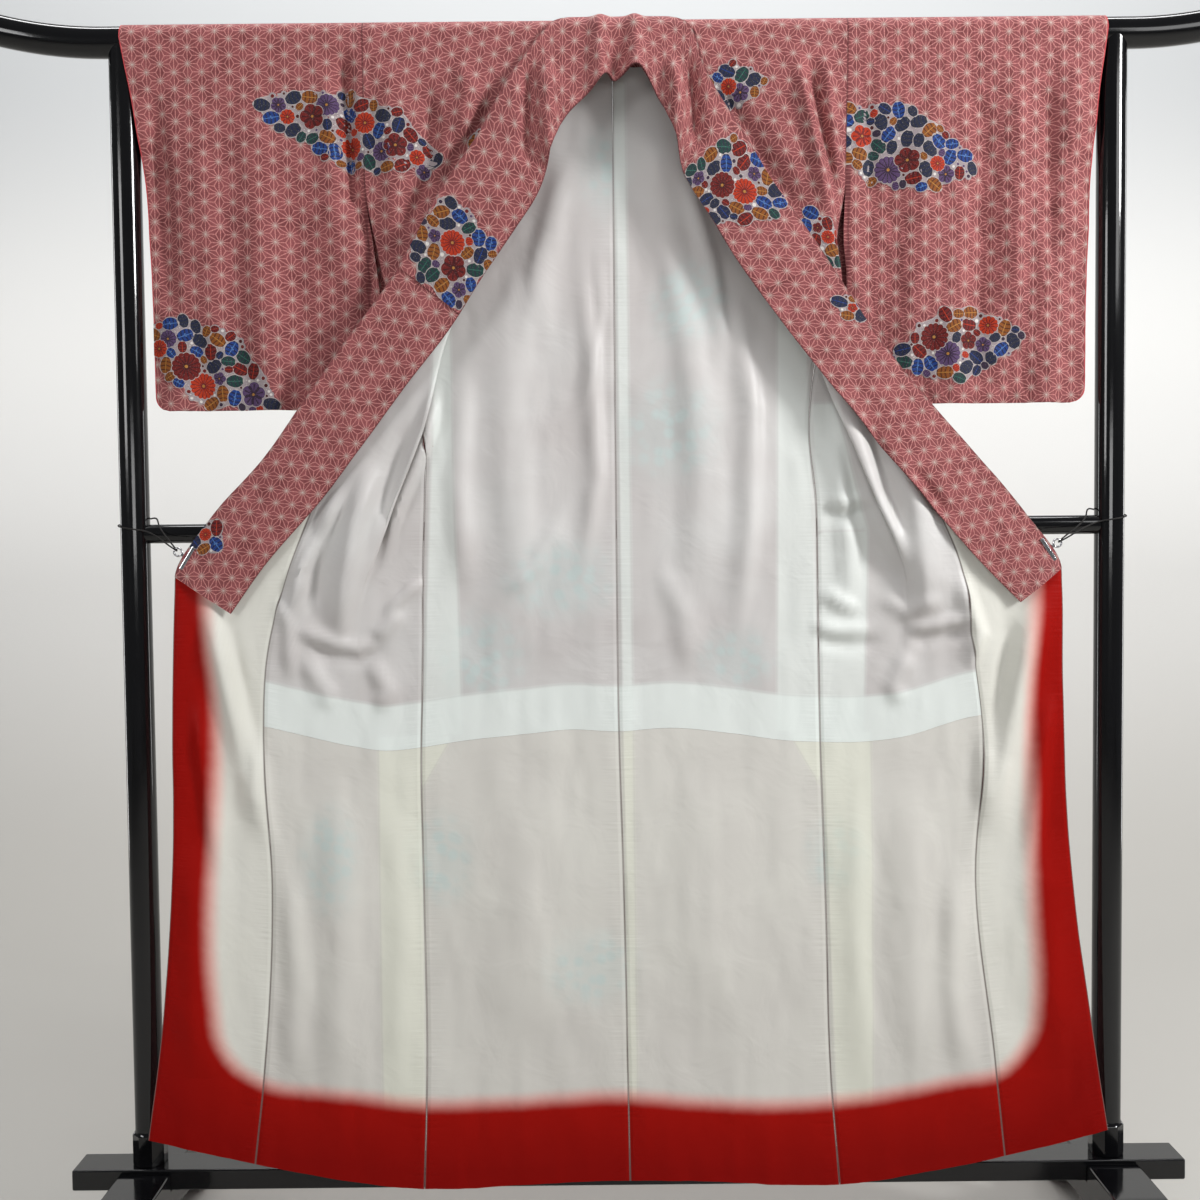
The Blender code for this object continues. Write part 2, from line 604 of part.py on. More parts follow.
def build_posts():
    """Two round posts with eight-sided bases. Their tops are hollowed to fit under the rail."""
    turn = np.arange(ROUND) / ROUND * 2 * math.pi
    unit_y, unit_x = np.cos(turn), np.sin(turn)  # point pairs k and ROUND - k share their y
    eighth = math.pi / 4
    flat = SOCKET_FLAT / np.cos((turn + eighth / 2) % eighth - eighth / 2)
    bottom = BEAM_TOP + GAP
    for side, name in ((-1, "post_left"), (1, "post_right")):
        def ring(radius, height):
            return np.stack([side * POST_X + radius * unit_x, radius * unit_y, np.full(ROUND, 1.0) * height], 1)

        top = RAIL_HEIGHT - np.sqrt((RAIL_RADIUS + GAP) ** 2 - (POST_RADIUS * unit_y) ** 2)
        saddle_bar(name, [
            ring(flat, bottom),
            ring(flat, bottom + SOCKET_HEIGHT),
            ring(POST_RADIUS, bottom + SOCKET_HEIGHT + 0.004),
            ring(POST_RADIUS, 1.60),
            ring(POST_RADIUS, top),
        ], "lacquer")


def build_crossbar():
    """The thin round bar between the posts, its ends hollowed to fit them."""
    turn = np.arange(ROUND) / ROUND * 2 * math.pi
    y, z = CROSSBAR_RADIUS * np.cos(turn), CROSSBAR_HEIGHT + CROSSBAR_RADIUS * np.sin(turn)
    end = POST_X - np.sqrt((POST_RADIUS + GAP) ** 2 - y**2)
    middle = np.full(ROUND, 0.3)
    rings = [np.stack([x, y, z], 1) for x in (-end, -middle, middle, end)]
    saddle_bar("crossbar", rings, "lacquer")


def bevelled(obj, width):
    """Break the object's sharp edges."""
    bevel = obj.modifiers.new("bevel", "BEVEL")
    bevel.width = width
    bevel.segments = 1
    bevel.limit_method = "ANGLE"
    bevel.angle_limit = math.radians(40)
    return obj


def build_beam():
    """The long flat beam that joins the feet."""
    work = bmesh.new()
    bmesh.ops.create_cube(work, size=1.0)
    bmesh.ops.scale(work, vec=(2 * BEAM_HALF, BEAM_DEPTH, BEAM_TOP - BEAM_BOTTOM), verts=work.verts)
    bmesh.ops.translate(work, vec=(0, 0, (BEAM_TOP + BEAM_BOTTOM) / 2), verts=work.verts)
    mesh = bpy.data.meshes.new("beam")
    work.to_mesh(mesh)
    work.free()
    mesh.materials.append(finish("lacquer"))
    beam = bpy.data.objects.new("beam", mesh)
    bpy.context.scene.collection.objects.link(beam)
    bevelled(beam, LONG_BEVEL)


def foot_outline():
    """(y, z) round a foot: toes, a level top notched for the beam, and an arch below."""
    notch = BEAM_DEPTH / 2 + GAP
    toe = FOOT_HALF - FOOT_EDGE
    half = [(notch, BEAM_BOTTOM - GAP), (notch, FOOT_TOP)]
    for turn in np.linspace(0, math.pi / 2, 7)[:-1]:
        y = FOOT_FLAT_TOP + (toe - FOOT_FLAT_TOP) * turn / (math.pi / 2)
        half.append((y, FOOT_TOE + (FOOT_TOP - FOOT_TOE) * math.cos(turn) ** 0.7))
    half += [(toe, FOOT_TOE), (FOOT_HALF, FOOT_TOE - FOOT_EDGE), (FOOT_HALF, 0.0)]
    half += [(ARCH_HALF * math.cos(a), ARCH_HEIGHT * math.sin(a)) for a in np.linspace(0, math.pi / 2, 7)]
    other = [(-y, z) for y, z in half[-2::-1]]
    return half + other


def build_feet():
    """Two feet that run front to back, each with the beam let into its top."""
    outline = foot_outline()
    for side, name in ((-1, "foot_left"), (1, "foot_right")):
        work = bmesh.new()
        start = side * POST_X - FOOT_WIDTH / 2
        face = work.faces.new([work.verts.new((start, y, z)) for y, z in outline])
        moved = bmesh.ops.extrude_face_region(work, geom=[face])["geom"]
        verts = [v for v in moved if isinstance(v, bmesh.types.BMVert)]
        bmesh.ops.translate(work, vec=(FOOT_WIDTH, 0, 0), verts=verts)
        bmesh.ops.recalc_face_normals(work, faces=work.faces)
        mesh = bpy.data.meshes.new(name)
        work.to_mesh(mesh)
        work.free()
        mesh.materials.append(finish("lacquer"))
        foot = bpy.data.objects.new(name, mesh)
        bpy.context.scene.collection.objects.link(foot)
        bevelled(foot, FOOT_BEVEL)


def join(target, other):
    """Join another closed body onto the target."""
    union = target.modifiers.new("join", "BOOLEAN")
    union.operation = "UNION"
    union.solver = "EXACT"
    union.object = other
    other.hide_render = True
    other.display_type = "WIRE"


def prism(name, profile, start, end, material):
    """A closed prism from a profile of points, between two offsets."""
    count = len(profile)
    points = [p + start for p in profile] + [p + end for p in profile]
    faces = [tuple(range(count)), tuple(range(2 * count - 1, count - 1, -1))]
    faces += [(k, count + k, count + (k + 1) % count, (k + 1) % count) for k in range(count)]
    return face_out(add_mesh(name, points, faces, material))


def build_clip(side, name, end, beside):
    """A chrome clip over the collar's edge near its end. Returns the middle of its eye."""
    along = unit((end - beside) * (1, 0, 1))
    out = np.array([side * abs(along[2]), 0.0, abs(along[0])])
    middle = end + (beside - end) * CLIP_PLACE
    middle[1] = CLIP_DEPTH
    deep = np.array([0.0, 1.0, 0.0])
    back = CLIP_CLEAR + CLIP_WALL
    wide = CLIP_HALF + CLIP_WALL
    profile = [
        (-CLIP_GRIP, -wide), (back - CLIP_CORNER, -wide), (back, -wide + CLIP_CORNER),
        (back, wide - CLIP_CORNER), (back - CLIP_CORNER, wide), (-CLIP_GRIP, wide),
        (-CLIP_GRIP, CLIP_HALF), (CLIP_CLEAR, CLIP_HALF), (CLIP_CLEAR, -CLIP_HALF), (-CLIP_GRIP, -CLIP_HALF),
    ]
    jaws = prism(name, [middle + out * n + deep * y for n, y in profile],
                 -along * CLIP_LENGTH / 2, along * CLIP_LENGTH / 2, "chrome")
    eye = middle + out * (back + NECK_LENGTH + EYE_RADIUS)
    bar = [(back - CLIP_WALL / 2, -EYE_WIRE), (back + NECK_LENGTH, -EYE_WIRE),
           (back + NECK_LENGTH, EYE_WIRE), (back - CLIP_WALL / 2, EYE_WIRE)]
    neck = prism(name + "_neck", [middle + out * n + deep * y for n, y in bar],
                 -along * NECK_WIDTH / 2, along * NECK_WIDTH / 2, "chrome")
    turn = np.linspace(0, 2 * math.pi, 20, endpoint=False)
    loop = [eye + EYE_RADIUS * (out * math.cos(a) + along * math.sin(a)) for a in turn]
    ring = tube(name + "_eye", loop, [EYE_WIRE * 1.15] * len(loop), "chrome", sides=8, closed=True)
    join(jaws, neck)
    join(jaws, ring)
    return eye


def build_tie(side, name, eye):
    """An elastic loop through a clip's eye, over the crossbar and round the post."""
    over = [np.array(p) * (side, 1, 1) for p in TIE_OVER]
    toward = unit((over[0] - eye) * (1, 0, 1))
    wire = eye + toward * EYE_RADIUS
    tip = [wire + TIE_TURN * np.array((0, -math.cos(a), 0)) - TIE_TURN * math.sin(a) * toward
           for a in np.radians((0, 45, 90, 135, 180))]
    reach = (POST_RADIUS + 2 * GAP + TIE_RADIUS) / math.cos(math.radians(15))
    around = np.radians(np.arange(320, 49, -30))
    height = np.linspace(TIE_HIGH, TIE_LOW, len(around))
    wrap = [(side * (POST_X - reach * math.cos(a)), -reach * math.sin(a), z) for a, z in zip(around, height)]
    path = np.array([*tip, *over, *wrap])
    tube(name, path, [TIE_RADIUS] * len(path), "elastic", sides=8, closed=True)


def lining_walls(name, grid, out, sign, first, seam, last):
    """Upper and skirt lining behind rows first to last of a body panel, parted at the seam's row."""
    for piece, start, end, seam_row, shift in (
        ("hakkake_", min(first, seam), max(first, seam), seam, -SEAM_HALF),
        ("lining_", min(seam, last), max(seam, last), seam, SEAM_HALF),
    ):
        points = grid[start:end + 1].copy()
        points[seam_row - start, :, 2] += shift
        for edge, beside in ((0, 1), (-1, -2)):
            inward = points[:, beside] - points[:, edge]
            width = np.linalg.norm(inward, axis=1, keepdims=True)
            points[:, edge] += inward / width * np.minimum(LINING_SHORT, width / 2)
        material = "skirt_lining" if piece == "hakkake_" else "lining"
        wall(piece + name, points, out[start:end + 1], -LINING_FAR, -LINING_NEAR, sign, material)


def build_garment():
    """Body, overlap panels, sleeves and collar, with the lining where it shows."""
    panels = {}
    front_seam = FRONT_LEVELS.index(LINING_SEAM)
    front_top = FRONT_LEVELS.index(OPEN_LINING_TOP)
    back_start = len(FRONT_LEVELS) + len(RAIL_ANGLES)
    back_seam = back_start + BACK_LEVELS.index(LINING_SEAM)
    back_end = back_start + len(BACK_LEVELS) - 1
    arm_rows = slice(FRONT_LEVELS.index(ARMHOLE_END), back_start + BACK_LEVELS.index(ARMHOLE_END) + 1)
    for side, name, table in ((-1, "left", FRONT_LEFT), (1, "right", FRONT_RIGHT)):
        sign = -side
        body = body_grid(side, table)
        body_out = normals(body, sign)
        body_out[arm_rows, 0, 0] = 0.0
        okumi = okumi_grid(side, table, FRONT_LEVELS[:front_top + 1])
        okumi_out = normals(okumi, sign)
        sleeve = sleeve_grid(side)
        panels[side] = (body, okumi)
        wall("body_" + name, body, body_out, -HALF, HALF, sign, "outer_cloth")
        wall("okumi_" + name, okumi, okumi_out, -HALF, HALF, sign, "outer_cloth")
        wall("sleeve_" + name, sleeve, normals(sleeve, sign), -HALF, HALF, sign, "outer_cloth")
        lining_walls("front_" + name, body, body_out, sign, 0, front_seam, front_top)
        lining_walls("back_" + name, body, body_out, sign, back_end, back_seam, back_start)
        wall("hakkake_okumi_" + name, okumi, okumi_out, -LINING_FAR, -LINING_NEAR, sign, "skirt_lining")
    collar = collar_grid(panels)
    collar_out = normals(collar, 1)
    wall("collar", collar, collar_out, -HALF, HALF, 1, "outer_cloth")
    skip = sum(1 for level in FRONT_LEVELS if COLLAR_END <= level < OVER_COLLAR_END)
    neck = slice(skip, -skip)
    wall("over_collar", collar[neck], collar_out[neck], LAYER - HALF, LAYER + HALF, 1, "outer_cloth")
    return collar


def main():
    clear_scene()
    build_rail()
    build_posts()
    build_crossbar()
    build_beam()
    build_feet()
    collar = build_garment()
    seam = collar[:, 0]
    for side, name, end, beside in ((-1, "left", seam[0], seam[1]), (1, "right", seam[-1], seam[-2])):
        eye = build_clip(side, "clip_" + name, end, beside)
        build_tie(side, "tie_" + name, eye)


main()
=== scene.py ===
"""The looks of a komon kimono that hangs opened out on a lacquered kimono stand.

Front is -Y, up is +Z, sizes are in metres. Each panel of cloth is a smooth surface worked out on a
grid from the same short tables as its solid, and gets its walls, creases and seams here.
"""

import logging
import math
from dataclasses import dataclass
from enum import Enum
from typing import Any, Sequence

import bpy
import numpy as np
from mathutils import Matrix, Vector

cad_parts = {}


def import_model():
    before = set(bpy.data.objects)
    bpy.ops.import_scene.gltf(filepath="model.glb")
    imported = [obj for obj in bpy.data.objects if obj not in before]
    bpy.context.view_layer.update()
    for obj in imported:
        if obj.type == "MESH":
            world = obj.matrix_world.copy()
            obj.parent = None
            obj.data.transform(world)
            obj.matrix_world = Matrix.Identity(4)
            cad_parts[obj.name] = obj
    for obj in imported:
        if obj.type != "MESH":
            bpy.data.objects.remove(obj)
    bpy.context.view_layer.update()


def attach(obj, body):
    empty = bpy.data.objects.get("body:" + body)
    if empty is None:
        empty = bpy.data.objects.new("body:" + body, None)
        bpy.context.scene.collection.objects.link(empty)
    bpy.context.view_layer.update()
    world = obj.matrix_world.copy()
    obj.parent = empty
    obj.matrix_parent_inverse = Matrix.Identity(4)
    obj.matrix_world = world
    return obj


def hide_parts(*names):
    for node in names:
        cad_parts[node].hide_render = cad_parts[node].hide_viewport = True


Array = np.ndarray
Table = tuple[tuple[float, ...], ...]
log = logging.getLogger("kimono")

# Cloth
CLOTH = 0.0012
LINING = 0.001
GAP = 0.0003
LINING_GAP = 0.0005
HALF = CLOTH / 2
LINING_NEAR = HALF + LINING_GAP
LINING_FAR = LINING_NEAR + LINING
LAYER = CLOTH + GAP
SEAM_HALF = GAP / 2
CELL = 0.0058  # spacing of the cloth's points
NOWHERE = 0.5  # distance that stands for no mark near
FAR = 9.0  # further than any distance on the object
DEEP = np.array([0.0, 1.0, 0.0])  # away from the viewer

# Stand
RAIL_RADIUS = 0.0215
RAIL_HEIGHT = 1.715
POST_X = 0.695
POST_RADIUS = 0.0205
CROSSBAR_RADIUS = 0.0135
CROSSBAR_HEIGHT = 1.025
BEAM_DEPTH = 0.057
BEAM_BOTTOM = 0.083
BEAM_TOP = 0.113

# Garment levels
SHOULDER = RAIL_RADIUS + GAP + HALF + 0.0001
RAIL_CLEAR = 0.012
RAIL_FADE = 0.05
ARMHOLE_END = 1.507
SIDE_SEAM_TOP = 1.28
SEAM_END = 0.02
LINING_SEAM = 0.735
OPEN_LINING_TOP = 1.43
BACK_LINING_TOP = 1.68
HEM = 0.083
HEM_FADE = 0.95
HEM_CORNER_X = 0.686
HEM_SEAM_X = 0.293
HEM_CORNER_RISE = 0.08
HEM_MIDDLE_HALF = 0.22
HEM_MIDDLE_RISE = 0.009
COLLAR_END = 0.964
OVER_COLLAR_END = 1.386
SLEEVE_BOTTOM = 1.199
SLEEVE_CORNER = 0.02
CUFF_BLEND = 0.09
CUFF_START = 0.8
TUCK_TURN = 0.003
COLLAR_WIDTH = 0.105

FRONT_COLUMNS = ("level", "side", "tuck", "tuck_y", "fold", "fold_y", "edge", "edge_y")
FRONT_LEFT: Table = (
    (1.715, 0.356, 0.27, -0.0224, 0.14, -0.0224, 0.106, -0.0224),
    (1.65, 0.356, 0.262, -0.026, 0.131, -0.029, 0.152, -0.035),
    (1.57, 0.356, 0.262, -0.026, 0.153, -0.031, 0.196, -0.038),
    (1.5, 0.356, 0.27, -0.024, 0.177, -0.031, 0.246, -0.038),
    (1.43, 0.344, 0.285, -0.02, 0.196, -0.031, 0.284, -0.037),
    (1.37, 0.332, 0.318, -0.015, 0.211, -0.03, 0.308, -0.037),
    (1.3, 0.305, 0.318, -0.012, 0.243, -0.028, 0.336, -0.037),
    (1.165, 0.279, 0.32, -0.014, 0.279, -0.027, 0.391, -0.036),
    (1.06, 0.28, 0.334, -0.019, 0.322, -0.029, 0.434, -0.035),
    (0.98, 0.283, 0.355, -0.0205, 0.354, -0.029, 0.466, -0.034),
    (0.85, 0.285, 0.375, -0.022, 0.415, -0.027, 0.502, -0.032),
    (0.735, 0.289, 0.355, -0.0235, 0.435, -0.027, 0.51, -0.031),
    (0.5, 0.288, 0.355, -0.027, 0.43, -0.029, 0.502, -0.031),
    (0.25, 0.287, 0.36, -0.03, 0.44, -0.031, 0.516, -0.033),
    (0.083, 0.293, 0.37, -0.0315, 0.455, -0.0325, 0.534, -0.034),
)
FRONT_RIGHT: Table = (
    (1.715, 0.32, 0.245, -0.0224, 0.14, -0.0224, 0.106, -0.0224),
    (1.65, 0.319, 0.252, -0.029, 0.101, -0.028, 0.124, -0.035),
    (1.57, 0.318, 0.268, -0.031, 0.125, -0.03, 0.172, -0.038),
    (1.5, 0.316, 0.287, -0.03, 0.146, -0.031, 0.214, -0.038),
    (1.43, 0.306, 0.298, -0.026, 0.166, -0.031, 0.264, -0.037),
    (1.37, 0.309, 0.309, -0.019, 0.19, -0.03, 0.298, -0.037),
    (1.3, 0.285, 0.31, -0.012, 0.25, -0.028, 0.326, -0.037),
    (1.165, 0.265, 0.336, -0.014, 0.312, -0.027, 0.386, -0.036),
    (1.06, 0.274, 0.366, -0.019, 0.356, -0.029, 0.434, -0.035),
    (0.98, 0.275, 0.394, -0.0205, 0.392, -0.029, 0.47, -0.034),
    (0.85, 0.276, 0.385, -0.022, 0.425, -0.0265, 0.491, -0.0325),
    (0.735, 0.278, 0.35, -0.0235, 0.435, -0.027, 0.505, -0.031),
    (0.5, 0.284, 0.35, -0.027, 0.43, -0.029, 0.496, -0.031),
    (0.25, 0.29, 0.36, -0.03, 0.44, -0.031, 0.522, -0.033),
    (0.083, 0.302, 0.37, -0.0315, 0.46, -0.0325, 0.538, -0.034),
)
BACK_COLUMNS = ("level", "depth", "centre_x")
BACK: Table = (
    (1.715, 0.0224, -0.008),
    (1.025, -0.0149, -0.009),
    (0.9, -0.0175, -0.009),
    (0.735, -0.0205, -0.008),
    (0.5, -0.0245, -0.003),
    (0.25, -0.028, 0.0),
    (0.083, -0.0306, 0.002),
)
EDGE_COLUMNS = ("level", "left", "right", "depth")
EDGE: Table = (
    (1.43, 0.2846, 0.2646, -0.0372),
    (1.386, 0.311, 0.294, -0.037),
    (1.285, 0.387, 0.36, -0.037),
    (1.202, 0.447, 0.426, -0.037),
    (1.138, 0.493, 0.482, -0.037),
    (1.041, 0.58, 0.564, -0.0365),
    (0.964, 0.628, 0.614, -0.0365),
    (0.95, 0.6288, 0.6146, -0.0366),
    (0.79, 0.635, 0.617, -0.039),
    (0.507, 0.641, 0.629, -0.04),
    (0.292, 0.658, 0.655, -0.04),
    (0.083, 0.684, 0.684, -0.04),
)
FREE_COLUMNS = ("seam", "left", "left_z", "right", "right_z", "depth")
FREE: Table = (
    (0.964, 0.549, 0.912, 0.555, 0.917, -0.046),
    (1.041, 0.5, 0.979, 0.497, 0.976, -0.047),
    (1.138, 0.413, 1.077, 0.405, 1.08, -0.048),
    (1.202, 0.366, 1.138, 0.352, 1.146, -0.048),
    (1.285, 0.303, 1.221, 0.276, 1.24, -0.049),
    (1.386, 0.227, 1.318, 0.196, 1.345, -0.049),
    (1.43, 0.197, 1.365, 0.164, 1.39, -0.049),
    (1.5, 0.148, 1.435, 0.127, 1.45, -0.049),
    (1.57, 0.114, 1.486, 0.097, 1.497, -0.048),
    (1.63, 0.099, 1.526, 0.084, 1.528, -0.047),
    (1.68, 0.088, 1.572, 0.077, 1.575, -0.046),
    (1.715, 0.073, 1.597, 0.066, 1.6, -0.044),
)
# The collar's seam round the neck: angle round the rail, seam and free edge
NECK_COLUMNS = ("angle", "seam_x", "left", "left_z", "right", "right_z", "depth")
NECK: Table = (
    (180.0, 0.106, 0.073, 1.597, 0.066, 1.6, -0.044),
    (157.5, 0.097, 0.058, 1.611, 0.055, 1.616, -0.04),
    (135.0, 0.085, 0.042, 1.626, 0.044, 1.64, -0.04),
    (112.5, 0.064, 0.027, 1.642, 0.034, 1.656, -0.04),
    (90.0, 0.032, 0.016, 1.652, 0.02, 1.662, -0.04),
)
NECK_BACK = 67.5
VALLEY_X = -0.006
VALLEY_Z = 1.646
RIDGE = 0.011
RIDGE_HALF = 0.016
RIDGES_X = (-0.026, 0.024)
COLLAR_BELLY = 0.003
COLLAR_RADIUS = SHOULDER + LAYER + 0.0016
SLEEVE_ROWS = ("level", "left_in", "left_out", "right_in", "right_out")
SLEEVE: Table = (
    (1.715, 0.356, 0.694, 0.32, 0.682),
    (1.6, 0.356, 0.676, 0.318, 0.669),
    (1.507, 0.356, 0.668, 0.317, 0.665),
    (1.43, 0.349, 0.665, 0.315, 0.663),
    (1.37, 0.341, 0.663, 0.319, 0.661),
    (1.3, 0.332, 0.662, 0.316, 0.66),
    (1.199, 0.33, 0.661, 0.318, 0.659),
)


class Side(Enum):
    """The two halves of the garment, as seen from the front."""

    LEFT = -1
    RIGHT = 1

    @property
    def word(self) -> str:
        """The side's name in lower case."""
        return self.name.lower()

    @property
    def front(self) -> Table:
        """The sections of this side's front panel."""
        return FRONT_LEFT if self is Side.LEFT else FRONT_RIGHT


def hermite(t: Array, width: Array, start: Array, end: Array, leaving: Array, coming: Array) -> Array:
    """Cubic Hermite spans from start to end.

    The sum of (2t^3-3t^2+1) start, (t^3-2t^2+t) w leaving, (3t^2-2t^3) end and (t^3-t^2) w coming.

    Args:
        t: How far along the span, 0 to 1.
        width: The span's width w in the curve's key.
        start: Value at t = 0.
        end: Value at t = 1.
        leaving: Slope at t = 0.
        coming: Slope at t = 1.

    Returns:
        The values at t.
    """
    return (
        (2 * t**3 - 3 * t**2 + 1) * start + (t**3 - 2 * t**2 + t) * width * leaving
        + (3 * t**2 - 2 * t**3) * end + (t**3 - t**2) * width * coming
    )


# Surfaces


def smooth(keys: Any, values: Any, at: Any) -> Array:
    """A curve through values at rising keys: cubic Hermite spans with central slopes.

    Args:
        keys: Rising places.
        values: One value, or one row of values, for each key.
        at: The places to read.

    Returns:
        The values at those places.
    """
    keys, values = np.asarray(keys, float), np.asarray(values, float)
    at = np.clip(np.asarray(at, float), keys[0], keys[-1])
    slopes = np.gradient(values, keys, axis=0)
    i = np.clip(np.searchsorted(keys, at, side="right") - 1, 0, len(keys) - 2)
    width = keys[i + 1] - keys[i]
    t = (at - keys[i]) / width
    if values.ndim == 2:
        t, width = t[..., None], width[..., None]
    return hermite(t, width, values[i], values[i + 1], slopes[i], slopes[i + 1])


def column(table: Table, names: Sequence[str], name: str, at: Any, key: str = "level") -> Array:
    """One named column of a table, as a smooth curve over its key column."""
    rows = sorted(table, key=lambda row: row[names.index(key)])
    keys = [row[names.index(key)] for row in rows]
    return smooth(keys, [row[names.index(name)] for row in rows], at)


def front_at(side: Side, name: str, level: Any) -> Array:
    """One named column of a side's front panel."""
    return column(side.front, FRONT_COLUMNS, name, level)


def step(value: Any) -> Array:
    """0 to 1 with soft ends: 3v^2 - 2v^3."""
    value = np.clip(value, 0.0, 1.0)
    return value * value * (3 - 2 * value)


def unit(vector: Array) -> Array:
    """Vectors along the last axis at length 1."""
    return vector / np.linalg.norm(vector, axis=-1, keepdims=True)


def running(points: Array) -> Array:
    """Running length through a list of points, from 0."""
    return np.concatenate([[0], np.cumsum(np.linalg.norm(np.diff(points, axis=0), axis=1))])


def beside(x: Array, z: Array, start: Array, end: Array) -> tuple[Array, Array, Array]:
    """The part of the way from start to end that lies nearest to (x, z), and the offset from there."""
    along = end - start
    part = np.clip(((x - start[0]) * along[0] + (z - start[1]) * along[1]) / (along @ along), 0, 1)
    return part, x - start[0] - part * along[0], z - start[1] - part * along[1]


def direction(turn: float) -> Array:
    """Unit vector at an angle."""
    return np.array([math.cos(turn), math.sin(turn)])


def unevenness(u: Array, v: Array, wide: float, long: float, seed: int) -> Array:
    """Smooth noise from -1 to 1: random corner heights of wide x long cells, blended by 3t^2 - 2t^3.

    Args:
        u: Place along the cells' width.
        v: Place along their length.
        wide: Their width.
        long: Their length.
        seed: Of their random heights.

    Returns:
        The noise at each place.
    """
    heights = np.random.default_rng(seed).uniform(-1, 1, (128, 128))
    a, b = u / wide, v / long
    i, j = np.floor(a).astype(int), np.floor(b).astype(int)
    s, t = step(a - i), step(b - j)
    low = heights[i % 128, j % 128] * (1 - s) + heights[(i + 1) % 128, j % 128] * s
    high = heights[i % 128, (j + 1) % 128] * (1 - s) + heights[(i + 1) % 128, (j + 1) % 128] * s
    return low * (1 - t) + high * t


def spread(low: float, high: float, cell: float = CELL) -> Array:
    """Even places from low to high, at most a cell apart."""
    return np.linspace(low, high, max(2, int(math.ceil(abs(high - low) / cell)) + 1))


def drop_half(level: Any) -> Array:
    """Half the depth between a sleeve's layers: SHOULDER at the rail, closed at the bottom seam."""
    part = np.clip((np.asarray(level, float) - SLEEVE_BOTTOM) / (RAIL_HEIGHT - SLEEVE_BOTTOM), 0.0, 1.0)
    closed = HALF + SEAM_HALF
    return closed + (SHOULDER - closed) * part**0.9


def opened(level: Any) -> Array:
    """0 up to the side seam's top, 1 from SEAM_END above it."""
    return step((level - SIDE_SEAM_TOP) / SEAM_END)


def below_rail(z: Array) -> Array:
    """0 beside the rail, where nothing moves, and 1 from RAIL_FADE below it."""
    return step((RAIL_HEIGHT - RAIL_CLEAR - z) / RAIL_FADE)


def over_rail(x: Array, turn: Array) -> Array:
    """Rows of cloth over the rail: x carried to each turn of the circle of radius SHOULDER round it."""
    ones = np.ones_like(x)
    return np.stack([x, SHOULDER * np.cos(turn) * ones, RAIL_HEIGHT + SHOULDER * np.sin(turn) * ones], 2)


def back_depth(level: Any) -> Array:
    """y of the back panels' middle."""
    return column(BACK, BACK_COLUMNS, "depth", level)


def side_depth(level: Any, front: bool) -> Array:
    """y of a panel's side edge: the sleeve's depth at the armhole, the back's at the side seam."""
    shut = back_depth(level)
    opened = -drop_half(level) if front else drop_half(level)
    return shut + (opened - shut) * step((level - SIDE_SEAM_TOP) / (ARMHOLE_END - SIDE_SEAM_TOP))


def hem_rise(x: Array, level: Any) -> Array:
    """How far a point stands above its row's level near the hem, outwards and at the middle.

    Args:
        x: Across the garment.
        level: The row's level.

    Returns:
        The rise.
    """
    out = np.clip((np.abs(x) - HEM_SEAM_X) / (HEM_CORNER_X - HEM_SEAM_X), 0.0, 1.0) ** 1.4
    middle = np.clip(1 - (x / HEM_MIDDLE_HALF) ** 2, 0.0, 1.0)
    fade = np.clip((HEM_FADE - level) / (HEM_FADE - HEM), 0.0, 1.0) ** 1.2
    return (HEM_CORNER_RISE * out + HEM_MIDDLE_RISE * middle) * fade


def at_levels(x: Array, y: Array, levels: Array) -> Array:
    """Points at (x, y), one row for each level, raised near the hem."""
    level = levels[:, None]
    return np.stack([x, y, level + hem_rise(x, level)], 2)


def through(controls: Array, cells: Sequence[int]) -> Array:
    """Smooth sections through control points: a cubic Hermite span between each two, keyed by root chords.

    Args:
        controls: rows x points x 2.
        cells: Cells in each span.

    Returns:
        rows x columns x 2.
    """
    chord = np.diff(controls, axis=1)
    width = np.linalg.norm(chord, axis=2, keepdims=True) ** 0.5
    slope = chord / width
    inner = (width[:, :-1] * slope[:, 1:] + width[:, 1:] * slope[:, :-1]) / (width[:, :-1] + width[:, 1:])
    tangent = np.concatenate([slope[:, :1], inner, slope[:, -1:]], 1)
    parts = []
    for k, count in enumerate(cells):
        t = np.linspace(0, 1, count + 1)[(1 if k else 0):][None, :, None]
        here, there = slice(k, k + 1), slice(k + 1, k + 2)
        parts.append(hermite(t, width[:, here], controls[:, here], controls[:, there],
                             tangent[:, here], tangent[:, there]))
    return np.concatenate(parts, 1)


def front_rows(side: Side, levels: Array, cells: Sequence[int]) -> Array:
    """Plan points (x outwards, y) of a front panel at each level, from its side to its front edge.

    Args:
        side: Whose panel.
        levels: Of its rows.
        cells: Cells in each section of a row.

    Returns:
        rows x columns x 2.
    """
    read = {name: front_at(side, name, levels) for name in FRONT_COLUMNS[1:]}
    start = np.stack([read["side"] + GAP - (GAP + SEAM_HALF) * opened(levels), side_depth(levels, True)], 1)
    edge = np.stack([read["edge"] - SEAM_HALF, read["edge_y"]], 1)
    tuck, fold = (np.stack([read[name], read[name + "_y"]], 1) for name in ("tuck", "fold"))
    turn = TUCK_TURN * unit(unit(tuck - start) + unit(fold - tuck))
    return through(np.stack([start, tuck - turn, tuck + turn, fold, edge], 1), cells)


def front_points(side: Side, levels: Array, cells: Sequence[int]) -> Array:
    """Points of a front panel: its plan rows, raised towards the hem's corner."""
    plan = front_rows(side, levels, cells)
    return at_levels(side.value * plan[..., 0], plan[..., 1], levels)


